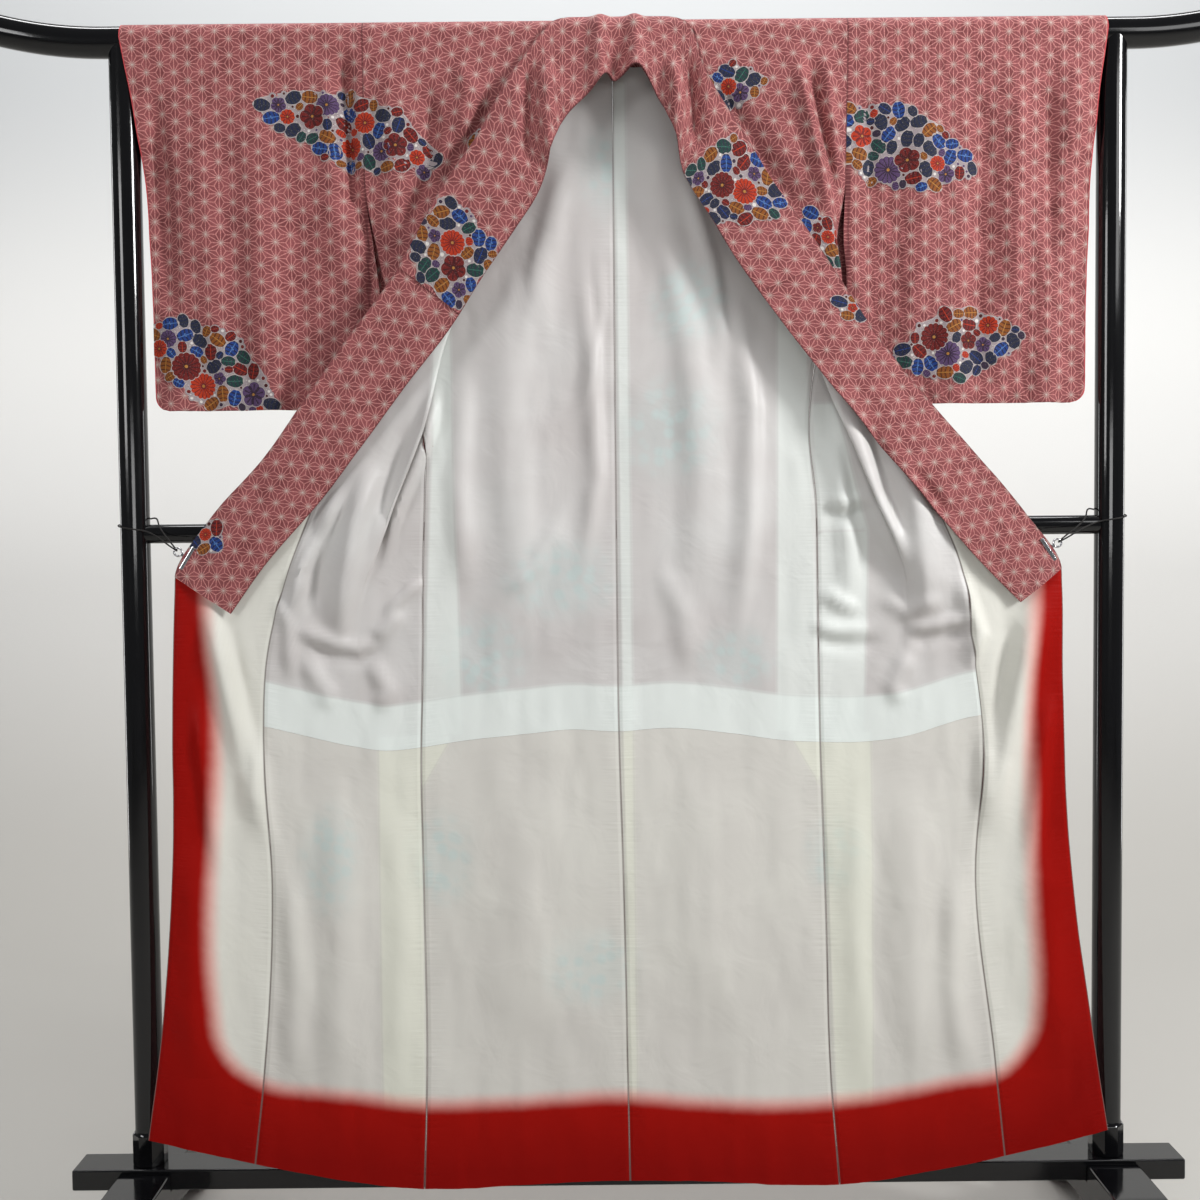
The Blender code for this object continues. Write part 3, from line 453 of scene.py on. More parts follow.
def back_points(side: Side, levels: Array, across: Array) -> Array:
    """Points of a back panel, from its side (across = 0) to the centre seam (1).

    Args:
        side: Whose panel.
        levels: Of its rows.
        across: Places along a row.

    Returns:
        rows x columns x 3.
    """
    edge = (front_at(side, "side", levels) + GAP * (-1 + 0.5 * opened(levels)))[:, None]
    centre = (column(BACK, BACK_COLUMNS, "centre_x", levels) + side.value * SEAM_HALF)[:, None]
    depth = back_depth(levels)[:, None]
    y = depth + (side_depth(levels, False)[:, None] - depth) * (1 - step(across * 3))
    return at_levels(side.value * edge * (1 - across) + centre * across, y, levels)


def okumi_points(side: Side, levels: Array, across: Array) -> Array:
    """Points of an overlap panel, ruled from its seam on the front panel to the front edge.

    Args:
        side: Whose panel.
        levels: Of its rows.
        across: Places along a row.

    Returns:
        rows x columns x 3.
    """
    start = front_at(side, "edge", levels)[:, None] + SEAM_HALF
    start_y = front_at(side, "edge_y", levels)[:, None]
    end, end_y = (column(EDGE, EDGE_COLUMNS, name, levels)[:, None] for name in (side.word, "depth"))
    x = side.value * (start + (end - start) * across)
    return at_levels(x, start_y + (end_y - start_y) * across, levels)


@dataclass(frozen=True)
class Crease:
    """One soft ridge of the cloth towards the viewer, or a trough where its height is negative.

    Attributes:
        path: Its line as (x, z) points.
        height: How far it stands out, in metres.
        half: The width over which it falls off.
        sharp: Fall-off on the left of the path's direction, as a part of half.
        blunt: Whether the ends keep their height, as at a seam.
    """

    path: Array
    height: float
    half: float
    sharp: float = 1.0
    blunt: bool = False

    def lift(self, x: Array, z: Array) -> Array:
        """height * exp(-(distance / width)^2), fading over the first and last third of the path.

        Args:
            x: Across the garment.
            z: Upwards.

        Returns:
            How far the cloth stands out.
        """
        points, length = self.path, running(self.path)
        near = np.full(x.shape, FAR)
        place, hand = np.zeros(x.shape), np.zeros(x.shape)
        for a, b, start in zip(points[:-1], points[1:], length[:-1]):
            t, dx, dz = beside(x, z, a, b)
            along = b - a
            far = np.hypot(dx, dz)
            closer = far < near
            near = np.where(closer, far, near)
            place = np.where(closer, start + t * math.hypot(*along), place)
            hand = np.where(closer, along[0] * dz - along[1] * dx, hand)
        part = place / length[-1]
        fade = 1.0 if self.blunt else step(np.minimum(part, 1 - part) * 3 + 0.12)
        width = self.half * np.where(hand > 0, self.sharp, 1.0)
        return self.height * np.exp(-((near / width) ** 2)) * fade


def creases(*rows: tuple[Any, ...]) -> tuple[Crease, ...]:
    """Creases from rows.

    Args:
        rows: The path's x and z in turn, in millimetres, the height in tenths of a millimetre, half
            in millimetres, and what a crease takes after that.

    Returns:
        The creases.
    """
    return tuple(
        Crease(np.reshape(path, (-1, 2)) / 1000, height / 10000, half / 1000, *rest)
        for path, height, half, *rest in rows
    )


BACK_CREASES = creases(
    # Long soft falls from the neck to the waist, and shallow ones in the skirt
    ((-55, 1430, -40, 1250, -35, 1100, -60, 950), 50, 14, 0.7),
    ((-33, 1430, -27, 1340, -38, 1250, -58, 1180), 22, 8, 0.8),
    ((-150, 1400, -160, 1200, -150, 1000, -170, 840), 60, 30),
    ((45, 1620, 60, 1460, 95, 1280, 112, 1100, 100, 900), 60, 22, 1.5),
    ((85, 1560, 130, 1400, 150, 1250), 50, 14, 0.7),
    ((-70, 1560, -110, 1420, -130, 1280), 50, 16, 1.4),
    ((165, 1360, 185, 1200, 180, 1020, 160, 860), 60, 20, 0.6),
    ((-220, 1260, -232, 1100, -225, 940), 60, 16),
    ((-85, 1050, -120, 980, -165, 930), 30, 12),
    ((50, 980, 85, 900, 90, 820), 30, 16),
    ((120, 700, 110, 500, 125, 300), 30, 50),
    ((-140, 700, -150, 500, -135, 280), 32, 50),
)
FRONT_CREASES = creases(
    # Left front panel: the fold's edge, falls from the collar, the pinch and the waist's small folds
    ((-246, 1262, -272, 1160, -314, 1060, -336, 982), 100, 12, 0.45),
    ((-345, 1130, -372, 1030, -392, 930, -402, 860), 110, 20, 0.55),
    ((-300, 1180, -330, 1080, -352, 990), -50, 12),
    ((-385, 1095, -448, 972, -470, 892), 80, 11, 0.6),
    ((-420, 1060, -432, 980, -440, 900), -50, 12),
    ((-486, 940, -470, 892, -470, 816), 42, 9, 0.8),
    ((-465, 892, -408, 867, -377, 860, -350, 870), 44, 10, 0.9),
    ((-460, 872, -415, 850, -375, 846, -330, 858), -30, 10),
    ((-337, 909, -300, 946, -284, 960), 50, 9, 0.7),
    ((-352, 870, -325, 900, -318, 918), 50, 9, 1.3),
    ((-455, 850, -420, 800, -425, 770), 35, 12),
    ((-360, 845, -335, 800, -350, 770), 40, 12),
    # Right front panel
    ((295, 1222, 313, 1170, 348, 1068, 378, 1004, 404, 952), 100, 12, 1.9),
    ((385, 1140, 412, 1040, 425, 950, 430, 880), 90, 18, 1.7),
    ((340, 1180, 372, 1080, 400, 1000), -50, 11),
    ((300, 1180, 310, 1080, 322, 990, 318, 900), 70, 15, 0.6),
    ((262, 890, 300, 878, 352, 882), 42, 10, 0.9),
    ((270, 866, 320, 856, 370, 862), -30, 10),
    ((281, 938, 330, 902), 50, 9),
    ((284, 1046, 315, 1040, 348, 1052), -45, 12),
    ((286, 1062, 318, 1058, 350, 1070), 28, 10),
    ((397, 879, 440, 886, 488, 898), 42, 10, 0.9),
    ((400, 862, 445, 868, 485, 880), -28, 10),
    ((482, 822, 500, 871, 470, 960), 65, 9, 1.5),
    ((360, 930, 400, 905, 450, 925), 40, 12),
    ((400, 1110, 452, 1035), -60, 10),
    ((405, 850, 380, 800, 395, 770), 40, 13),
    # Overlap panels: pulled from the clips
    ((-590, 950, -560, 840, -525, 700, -512, 580), 110, 18, 0.7),
    ((-555, 890, -535, 760, -520, 640), -70, 12),
    ((-600, 800, -588, 660, -575, 540), 50, 12),
    ((590, 950, 555, 830, 520, 700, 508, 580), 110, 18, 1.4),
    ((550, 890, 528, 760, 512, 640), -70, 12),
    ((596, 800, 582, 660, 566, 540), 50, 12),
    ((-600, 600, -606, 420, -620, 250), 50, 30),
    ((592, 600, 598, 420, 615, 250), 50, 30),
    # Skirt: shallow hanging folds
    ((-400, 680, -405, 450, -415, 200), 60, 34),
    ((-330, 660, -320, 450, -330, 200), 30, 20),
    ((400, 680, 402, 450, 420, 200), 60, 34),
    ((330, 660, 325, 450, 340, 200), 30, 20),
    ((-480, 560, -470, 380, -480, 220), 50, 18),
    ((470, 560, 462, 380, 480, 220), 50, 18),
    # Left shoulder: a bright fall by the sleeve, a deep one along the collar
    ((-262, 1650, -262, 1540, -284, 1485, -300, 1440), -85, 15, 0.8),
    ((-318, 1690, -318, 1580, -316, 1480, -322, 1410), 50, 16),
    ((-215, 1690, -205, 1620, -222, 1560), 60, 14, 0.6),
    # Collar near the neck: a ridge on each side, and a valley outside it
    ((-99, 1690, -97, 1600, -94, 1510), 75, 9, 0.8),
    ((-122, 1690, -122, 1600, -126, 1520), -70, 11),
    ((74, 1690, 81, 1620, 76, 1550), 80, 9),
    ((96, 1690, 103, 1610, 106, 1540), -80, 11),
    # Right shoulder: one fold over another beside the sleeve
    ((247, 1688, 262, 1610, 280, 1530, 297, 1450), 70, 11, 2.2),
    ((262, 1690, 278, 1610, 294, 1530, 304, 1470), -100, 9),
    ((288, 1690, 294, 1610, 303, 1540), 40, 7),
)
BESIDE_COLLAR = creases(
    # Valleys in the body alone, along the collar's outer edge
    ((-150, 1655, -205, 1575, -252, 1505, -286, 1450), -58, 14),
    ((122, 1660, 175, 1582, 222, 1505, 268, 1440), -65, 15),
)
CROSSBAR_CLEAR = 0.035  # above and below the crossbar no crease goes back
RIPPLE = 0.0014
FOLD = 1.9  # how much stronger than its table a crease stands
SEAM_BLEND = 0.035


def drape(points: Array, creases: tuple[Crease, ...], beyond: tuple[Crease, ...] = ()) -> Array:
    """Move a grid towards the viewer by its creases and a slight unevenness.

    The creases of the panel beyond the side seam reach in by SEAM_BLEND, so that both edges of the
    seam stay together. Nothing moves at the rail or along the armholes, and nothing goes back at
    the crossbar.

    Args:
        points: rows x columns x 3.
        creases: The panel's own creases.
        beyond: The creases of the panel beyond the side seam.

    Returns:
        The moved grid.
    """
    x, z = points[..., 0], points[..., 2]
    lift = sum(crease.lift(x, z) for crease in creases)
    if beyond:
        seam = np.where(x < 0, *(front_at(side, "side", z) for side in Side))
        near = step(1 - np.abs(np.abs(x) - seam) / SEAM_BLEND) * step((SIDE_SEAM_TOP + 0.02 - z) / 0.03)
        lift = lift + near * sum(crease.lift(x, z) for crease in beyond)
    wave = unevenness(x + 3, z + 0.25 * x, 0.034, 0.16, 5) + 0.6 * unevenness(x + 3, z, 0.016, 0.055, 6)
    lift = FOLD * lift + RIPPLE * wave * step((1.68 - z) / 0.1)
    held = 1 - np.exp(-((z - CROSSBAR_HEIGHT) / CROSSBAR_CLEAR) ** 2)
    lift = np.where(lift < 0, lift * held, lift)
    lift = lift * below_rail(z)
    armhole = np.where(x < 0, 0.356, 0.319)
    lift = lift * (1 - step((z - 1.49) / 0.03) * step(1 - (armhole - np.abs(x)) / 0.026))
    moved = points.copy()
    moved[..., 1] -= lift
    return moved


@dataclass(frozen=True)
class Sheet:
    """The middle surface of one panel.

    Attributes:
        points: rows x columns x 3.
        uv: rows x columns x 2, the cloth's own coordinates in metres, across and along.
        sign: Which way the grid's cross product points outwards.
    """

    points: Array
    uv: Array
    sign: int

    def normals(self) -> Array:
        """Unit outward normals: the across tangent times the along tangent."""
        across, along = np.gradient(self.points, axis=1), np.gradient(self.points, axis=0)
        return unit(np.cross(across, along) * self.sign)

    def edge_distance(self) -> Array:
        """Distance in the cloth to the nearer long edge."""
        u = self.uv[..., 0]
        return np.minimum(u - u.min(axis=1, keepdims=True), u.max(axis=1, keepdims=True) - u)

    def moved(self, by: float) -> "Sheet":
        """The sheet moved along its normals."""
        return Sheet(self.points + self.normals() * by, self.uv, self.sign)


def cloth_map(across: Array, along: Array) -> Array:
    """The cloth's own coordinates: a place across for each point, and a place along for each row."""
    return np.stack(np.broadcast_arrays(across, along[:, None]), 2)


def row_lengths(points: Array) -> Array:
    """Running length along each row of a grid, from 0."""
    steps = np.linalg.norm(np.diff(points, axis=1), axis=2)
    return np.pad(np.cumsum(steps, axis=1), ((0, 0), (1, 0)))


def linked(name: str, data: Any) -> bpy.types.Object:
    """A new object in the scene."""
    obj = bpy.data.objects.new(name, data)
    bpy.context.scene.collection.objects.link(obj)
    return obj




# Meshes

UV = "cloth"


def add_mesh(name: str, points: Array, faces: list[Any], material: bpy.types.Material,
             uv: Array | None = None, fields: dict[str, Array] | None = None,
             colours: Array | None = None, sharp: float = 75.0) -> bpy.types.Object:
    """A smooth-shaded object from points and faces.

    Args:
        name: The piece's name.
        points: n x 3.
        faces: Corner indices of each face.
        material: Its only material.
        uv: n x 2, stored as the map UV.
        fields: Named values, one for each point.
        colours: One linear colour for each face, stored as "print".
        sharp: Edges that bend by more than this many degrees stay sharp.

    Returns:
        The object, riding on the stand's one body.
    """
    mesh = bpy.data.meshes.new(name)
    mesh.from_pydata(points.tolist(), [], faces)
    mesh.materials.append(material)
    corners = np.zeros(len(mesh.loops), dtype=np.int32)
    mesh.loops.foreach_get("vertex_index", corners)
    if uv is not None:
        layer = mesh.uv_layers.new(name=UV)
        layer.data.foreach_set("uv", uv[corners].ravel().astype(np.float32))
    for field, values in (fields or {}).items():
        attribute = mesh.attributes.new(field, "FLOAT", "POINT")
        attribute.data.foreach_set("value", np.asarray(values, np.float32).ravel())
    if colours is not None:
        counts = np.array([len(face) for face in faces])
        attribute = mesh.color_attributes.new("print", "FLOAT_COLOR", "CORNER")
        each = np.concatenate([np.repeat(colours, counts, axis=0), np.ones((len(corners), 1))], 1)
        attribute.data.foreach_set("color", each.ravel().astype(np.float32))
    mesh.shade_smooth()
    mesh.set_sharp_from_angle(angle=math.radians(sharp))
    obj = linked(name, mesh)
    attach(obj, "root")
    log.info("%s: %d faces", name, len(faces))
    return obj


def grid_faces(rows: int, cols: int, ring: bool = False, torus: bool = False) -> Array:
    """Quads between the points of a grid, row by row.

    Args:
        rows: Rows of points.
        cols: Points in a row.
        ring: Whether each row closes on itself.
        torus: Whether the last row also joins the first.

    Returns:
        n x 4 corner indices.
    """
    index = np.arange(rows * cols).reshape(rows, cols)
    right = np.roll(index, -1, axis=1)
    faces = np.stack([index, right, np.roll(right, -1, axis=0), np.roll(index, -1, axis=0)], 2)
    return faces[:rows if torus else rows - 1, :cols if ring else cols - 1].reshape(-1, 4)


def shell(name: str, sheet: Sheet, low: float, high: float, material: bpy.types.Material,
          fields: dict[str, Array] | None = None, grain: Array | None = None) -> bpy.types.Object:
    """A closed wall of cloth: the sheet moved by low and by high along its normals, joined by a rim.

    Args:
        name: The piece's name.
        sheet: Its middle surface.
        low: Offset of the inner skin.
        high: Offset of the outer skin.
        material: The cloth's material.
        fields: Named values on the sheet's grid.
        grain: The map for the finish, where it differs from the sheet's own.

    Returns:
        The cloth's object.
    """
    rows, cols = sheet.points.shape[:2]
    out = sheet.normals()
    points = np.concatenate([(sheet.points + out * by).reshape(-1, 3) for by in (high, low)])
    index = np.arange(rows * cols).reshape(rows, cols)
    skin = grid_faces(rows, cols)
    rim = np.concatenate([index[0, :], index[1:, -1], index[-1, -2::-1], index[-2:0:-1, 0]])
    after, under = np.roll(rim, -1), rows * cols
    edge = np.stack([rim, rim + under, after + under, after], 1)
    faces = np.concatenate([skin, skin[:, ::-1] + under, edge])
    if sheet.sign < 0:
        faces = faces[:, ::-1]
    values = {"seam": sheet.edge_distance(), **(fields or {})}
    both = {key: np.tile(value.ravel(), 2) for key, value in values.items()}
    uv = np.tile((sheet.uv if grain is None else grain).reshape(-1, 2), (2, 1))
    return add_mesh(name, points, faces.tolist(), material, uv, both)


def dress(piece: bpy.types.Object) -> bpy.types.Object:
    """Put a piece in the place of the solid that its name starts with, by hiding that solid."""
    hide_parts(piece.name.rsplit("_", 1)[0])
    return piece


def outer_cloth(node: str, sheet: Sheet, material: bpy.types.Material, fields: dict[str, Array] | None = None,
                grain: Array | None = None) -> bpy.types.Object:
    """A panel of the outer cloth, CLOTH thick, in its solid's place."""
    return dress(shell(node + "_cloth", sheet, -HALF, HALF, material, fields, grain))


def inner_silk(node: str, sheet: Sheet, material: bpy.types.Material, fields: dict[str, Array]) -> None:
    """A lining, LINING thick, behind its panel and in its solid's place.

    Args:
        node: The solid's name.
        sheet: The grid of the panel that it lies behind.
        material: Its silk.
        fields: What the finish reads.
    """
    piece = shell(node + "_silk", sheet, -LINING_FAR, -LINING_NEAR, material, fields)
    dress(piece)


def swept(name: str, path: Array, radii: Array, material: bpy.types.Material, sides: int = 48,
          closed: bool = False, frame: Array | None = None) -> bpy.types.Object:
    """A round bar: circles of the given radii carried square to a path, closed at its ends or into a ring.

    Args:
        name: The piece's name.
        path: Its middle line.
        radii: One radius for each point of the path.
        material: Its material.
        sides: Points round each circle.
        closed: Whether the path is a ring.
        frame: The direction that a circle's first point is square to.

    Returns:
        The bar's object.
    """
    if closed:
        along = unit(np.roll(path, -1, axis=0) - np.roll(path, 1, axis=0))
    else:
        along = unit(np.gradient(path, axis=0))
    across = np.eye(3)[int(np.argmin(np.ptp(path, axis=0)))] if frame is None else frame
    first = unit(np.cross(along, across))
    second = np.cross(along, first)
    turn = np.linspace(0, 2 * math.pi, sides, endpoint=False)
    ring = first[:, None] * np.cos(turn)[None, :, None] + second[:, None] * np.sin(turn)[None, :, None]
    points = (path[:, None] + ring * radii[:, None, None]).reshape(-1, 3)
    faces = grid_faces(len(path), sides, True, closed).tolist()
    if not closed:
        faces.append(list(range(sides))[::-1])
        faces.append(list(range(len(points) - sides, len(points))))
    uv = cloth_map(turn * float(np.mean(radii)), running(path))
    return add_mesh(name, points, faces, material, uv.reshape(-1, 2), sharp=50.0)


@dataclass(frozen=True)
class Edges:
    """How a prism's edges are eased.

    Attributes:
        width: Width of the rounding.
        cuts: Strips across it.
        bend: Edges that bend by more than this many degrees are rounded.
        sharp: Edges that bend by more than this stay sharp in the shading.
        harden: Whether the flats beside a rounding are shaded flat.
    """

    width: float
    cuts: int
    bend: float
    sharp: float
    harden: bool = False


def prism(name: str, outline: Array, reach: Array, material: bpy.types.Material,
          edges: Edges) -> bpy.types.Object:
    """An outline carried by -reach and by +reach, closed and facing outwards, with eased edges.

    Args:
        name: The piece's name.
        outline: n x 3, halfway.
        reach: Half the way from one end to the other.
        material: Its material.
        edges: How its edges are eased.

    Returns:
        The prism's object.
    """
    count = len(outline)
    faces = grid_faces(2, count, True).tolist() + [list(range(count))[::-1], list(range(count, 2 * count))]
    points = np.concatenate([outline - reach, outline + reach])
    obj = add_mesh(name, points, faces, material, sharp=edges.sharp)
    if np.cross(outline, np.roll(outline, -1, axis=0)).sum(axis=0) @ reach < 0:
        obj.data.flip_normals()
    bevel = obj.modifiers.new("eased edges", "BEVEL")
    bevel.width = edges.width
    bevel.segments = edges.cuts
    bevel.limit_method = "ANGLE"
    bevel.angle_limit = math.radians(edges.bend)
    bevel.harden_normals = edges.harden
    return obj


# Finishes


def linear(code: str) -> tuple[float, float, float]:
    """An sRGB hex colour in linear light."""
    parts = [int(code[i:i + 2], 16) / 255 for i in (1, 3, 5)]
    red, green, blue = (c / 12.92 if c <= 0.04045 else ((c + 0.055) / 1.055) ** 2.4 for c in parts)
    return red, green, blue


def rgba(code: str) -> tuple[float, float, float, float]:
    """An sRGB hex colour in linear light, opaque."""
    return (*linear(code), 1.0)


class Graph:
    """The nodes of one material."""

    def __init__(self, name: str) -> None:
        """Start a material with a Principled shader."""
        self.material = bpy.data.materials.new(name)
        self.material.use_nodes = True
        self.shader = self.material.node_tree.nodes["Principled BSDF"]

    def add(self, kind: str, inputs: dict[Any, Any] | None = None, out: Any = 0, **settings: Any) -> Any:
        """Add a node with its settings, values and links.

        Args:
            kind: The node's type without its "ShaderNode" prefix.
            inputs: Socket name or number, and the value or output socket that it takes.
            out: The output to return.
            settings: The node's own properties.

        Returns:
            The chosen output socket.
        """
        node = self.material.node_tree.nodes.new("ShaderNode" + kind)
        for key, value in settings.items():
            setattr(node, key, value)
        self.fill(node, inputs or {})
        return node.outputs[out]

    def fill(self, node: bpy.types.Node, inputs: dict[Any, Any]) -> None:
        """Set or link a node's inputs.

        Args:
            node: Whose inputs.
            inputs: Values or sockets, by name or number.
        """
        for key, value in inputs.items():
            if isinstance(value, bpy.types.NodeSocket):
                self.material.node_tree.links.new(value, node.inputs[key])
            else:
                node.inputs[key].default_value = value

    def noise(self, place: Any, scale: float, detail: float, out: Any = 0, **inputs: float) -> Any:
        """Soft noise with so many waves to the metre."""
        return self.add("TexNoise", {"Vector": place, "Scale": scale, "Detail": detail, **inputs}, out)

    def stretched(self, place: Any, scale: tuple[float, float, float]) -> Any:
        """A place scaled along its axes."""
        return self.add("Mapping", {"Vector": place, "Scale": scale})

    def field(self, name: str, out: str = "Fac") -> Any:
        """A named value of the mesh."""
        return self.add("Attribute", out=out, attribute_name=name)

    def math(self, operation: str, first: Any, second: Any) -> Any:
        """One sum of two values."""
        return self.add("Math", {0: first, 1: second}, operation=operation)

    def ramp(self, value: Any, start: float, end: float, low: float = 0.0, high: float = 1.0,
             shape: str = "LINEAR") -> Any:
        """low where the value is at start, high at end, in a line or with soft ends between."""
        return self.add("MapRange", {0: value, 1: start, 2: end, 3: low, 4: high}, interpolation_type=shape)

    def mix(self, part: Any, under: Any, over: Any) -> Any:
        """One colour over another by a part; a code or a socket each."""
        under, over = (rgba(code) if isinstance(code, str) else code for code in (under, over))
        return self.add("Mix", {0: part, 6: under, 7: over}, 2, data_type="RGBA")

    def bump(self, strength: float, distance: float, height: Any, normal: Any = None) -> Any:
        """A relief, on another one if there is any."""
        under = {} if normal is None else {"Normal": normal}
        return self.add("Bump", {"Strength": strength, "Distance": distance, "Height": height, **under})

    def done(self, **inputs: Any) -> bpy.types.Material:
        """Fill the shader, its sockets' names with _ for a space, and return the material."""
        self.fill(self.shader, {key.replace("_", " "): value for key, value in inputs.items()})
        return self.material


@dataclass(frozen=True)
class HempLeafCrepe:
    """Silk crepe (chirimen) of twisted yarns, yuzen-dyed: matt, pebbled, dusty rose with a hemp-leaf repeat.

    The repeat is the traditional asanoha: a lattice of six-pointed stars, each triangle between
    three stars split by lines to its middle. The crepe's grain is about 0.7 mm in the real cloth
    and is drawn at 1.3 mm, so that it shows.
    """

    name: str = "hemp_leaf_crepe"
    star_gap: float = 0.0223
    line: float = 0.0014
    grain: float = 0.0013
    pucker: float = 0.5
    ground: str = "#6F373A"
    ground_pale: str = "#9A5658"
    line_colour: str = "#C6847F"
    centre_colour: str = "#BEB2A9"
    # painted shade in the seams' grooves, darkest at the seam itself
    seam_shade: str = "#4A1B20"
    piping: str = "#C4474C"

    def build(self) -> bpy.types.Material:
        """Print hemp leaves on the crepe, along the map UV in metres.

        Returns:
            The material.
        """
        g = Graph(self.name)
        uv = g.add("UVMap", uv_map=UV)
        shift = g.noise(uv, 90.0, 1.0, "Color")
        shift = g.add("VectorMath", {0: shift, 1: (0.5, 0.5, 0.5)}, operation="SUBTRACT")
        shift = g.add("VectorMath", {0: shift, "Scale": 0.0012}, operation="SCALE")
        place = g.add("VectorMath", {0: uv, 1: shift}, operation="ADD")
        drawn, high = self.lines(g, place, uv)
        bright = g.math("MULTIPLY", g.ramp(high, self.star_gap * 0.27, self.star_gap * 0.1, 0.0, 0.75), drawn)
        dot = g.ramp(high, 0.0014, 0.0008, 0.0, 0.85)
        crepe = g.noise(uv, 1 / self.grain, 2.0)
        mottle = g.ramp(g.math("MULTIPLY", g.noise(uv, 38.0, 3.0), crepe), 0.12, 0.4)
        seam = g.field("seam")
        colour = g.mix(mottle, self.ground, self.ground_pale)
        for part, code in (
            (drawn, self.line_colour), (bright, self.centre_colour), (dot, self.centre_colour),
            # painted shade along the seams, within 1.8 mm of a panel's edge
            (g.ramp(seam, 0.0018, 0.0004, 0.0, 0.55), self.seam_shade),
            (g.ramp(g.field("cuff"), 0.55, 0.75, 0.0, 0.9), self.piping),
        ):
            colour = g.mix(part, colour, code)
        lumps = g.noise(g.stretched(uv, (1.0, 0.5, 1.0)), 110.0, 2.0)
        lumps = g.math("MULTIPLY", lumps, g.ramp(seam, 0.024, 0.004, self.pucker, 0.8))
        bump = g.bump(0.9, 0.005, lumps)
        bump = g.bump(0.8, 0.0008, crepe, bump)
        bump = g.bump(0.5, 0.0005, drawn, bump)
        return g.done(Base_Color=colour, Roughness=0.72, Specular_IOR_Level=0.25, Sheen_Weight=0.1,
                      Sheen_Roughness=0.45, Sheen_Tint=rgba("#E8C4C0"), Normal=bump)

    def lines(self, g: Graph, place: Any, uv: Any) -> tuple[Any, Any]:
        """The hemp leaf's lines.

        The distances to three families of parallel lines, sorted, give the lattice (the least),
        the spokes (middle less least, over the root of 3) and the nearness to a star (the greatest).

        Args:
            g: The material's nodes.
            place: The cloth's coordinates, slightly wavering.
            uv: The cloth's coordinates.

        Returns:
            How much of a line there is, and the greatest distance.
        """
        height = self.star_gap * math.sqrt(3) / 2
        far = []
        for normal in ((1.0, 0.0, 0.0), (-0.5, math.sqrt(3) / 2, 0.0), (0.5, math.sqrt(3) / 2, 0.0)):
            run = g.add("VectorMath", {0: place, 1: normal}, "Value", operation="DOT_PRODUCT")
            far.append(g.math("PINGPONG", run, height / 2))
        low, high, total = (
            g.math(kind, g.math(kind, far[0], far[1]), far[2]) for kind in ("MINIMUM", "MAXIMUM", "ADD")
        )
        middle = g.math("SUBTRACT", g.math("SUBTRACT", total, low), high)
        spoke = g.math("DIVIDE", g.math("SUBTRACT", middle, low), math.sqrt(3))
        taper = g.ramp(high, 0.0048, 0.001, 0.0, self.line * 0.32)
        near = g.math("ADD", g.math("MINIMUM", low, spoke), taper)
        drawn = g.ramp(near, self.line * 0.7, self.line * 0.3)
        return g.math("MULTIPLY", drawn, g.ramp(g.noise(uv, 620.0, 1.0), 0.32, 0.62, 0.35, 1.0)), high


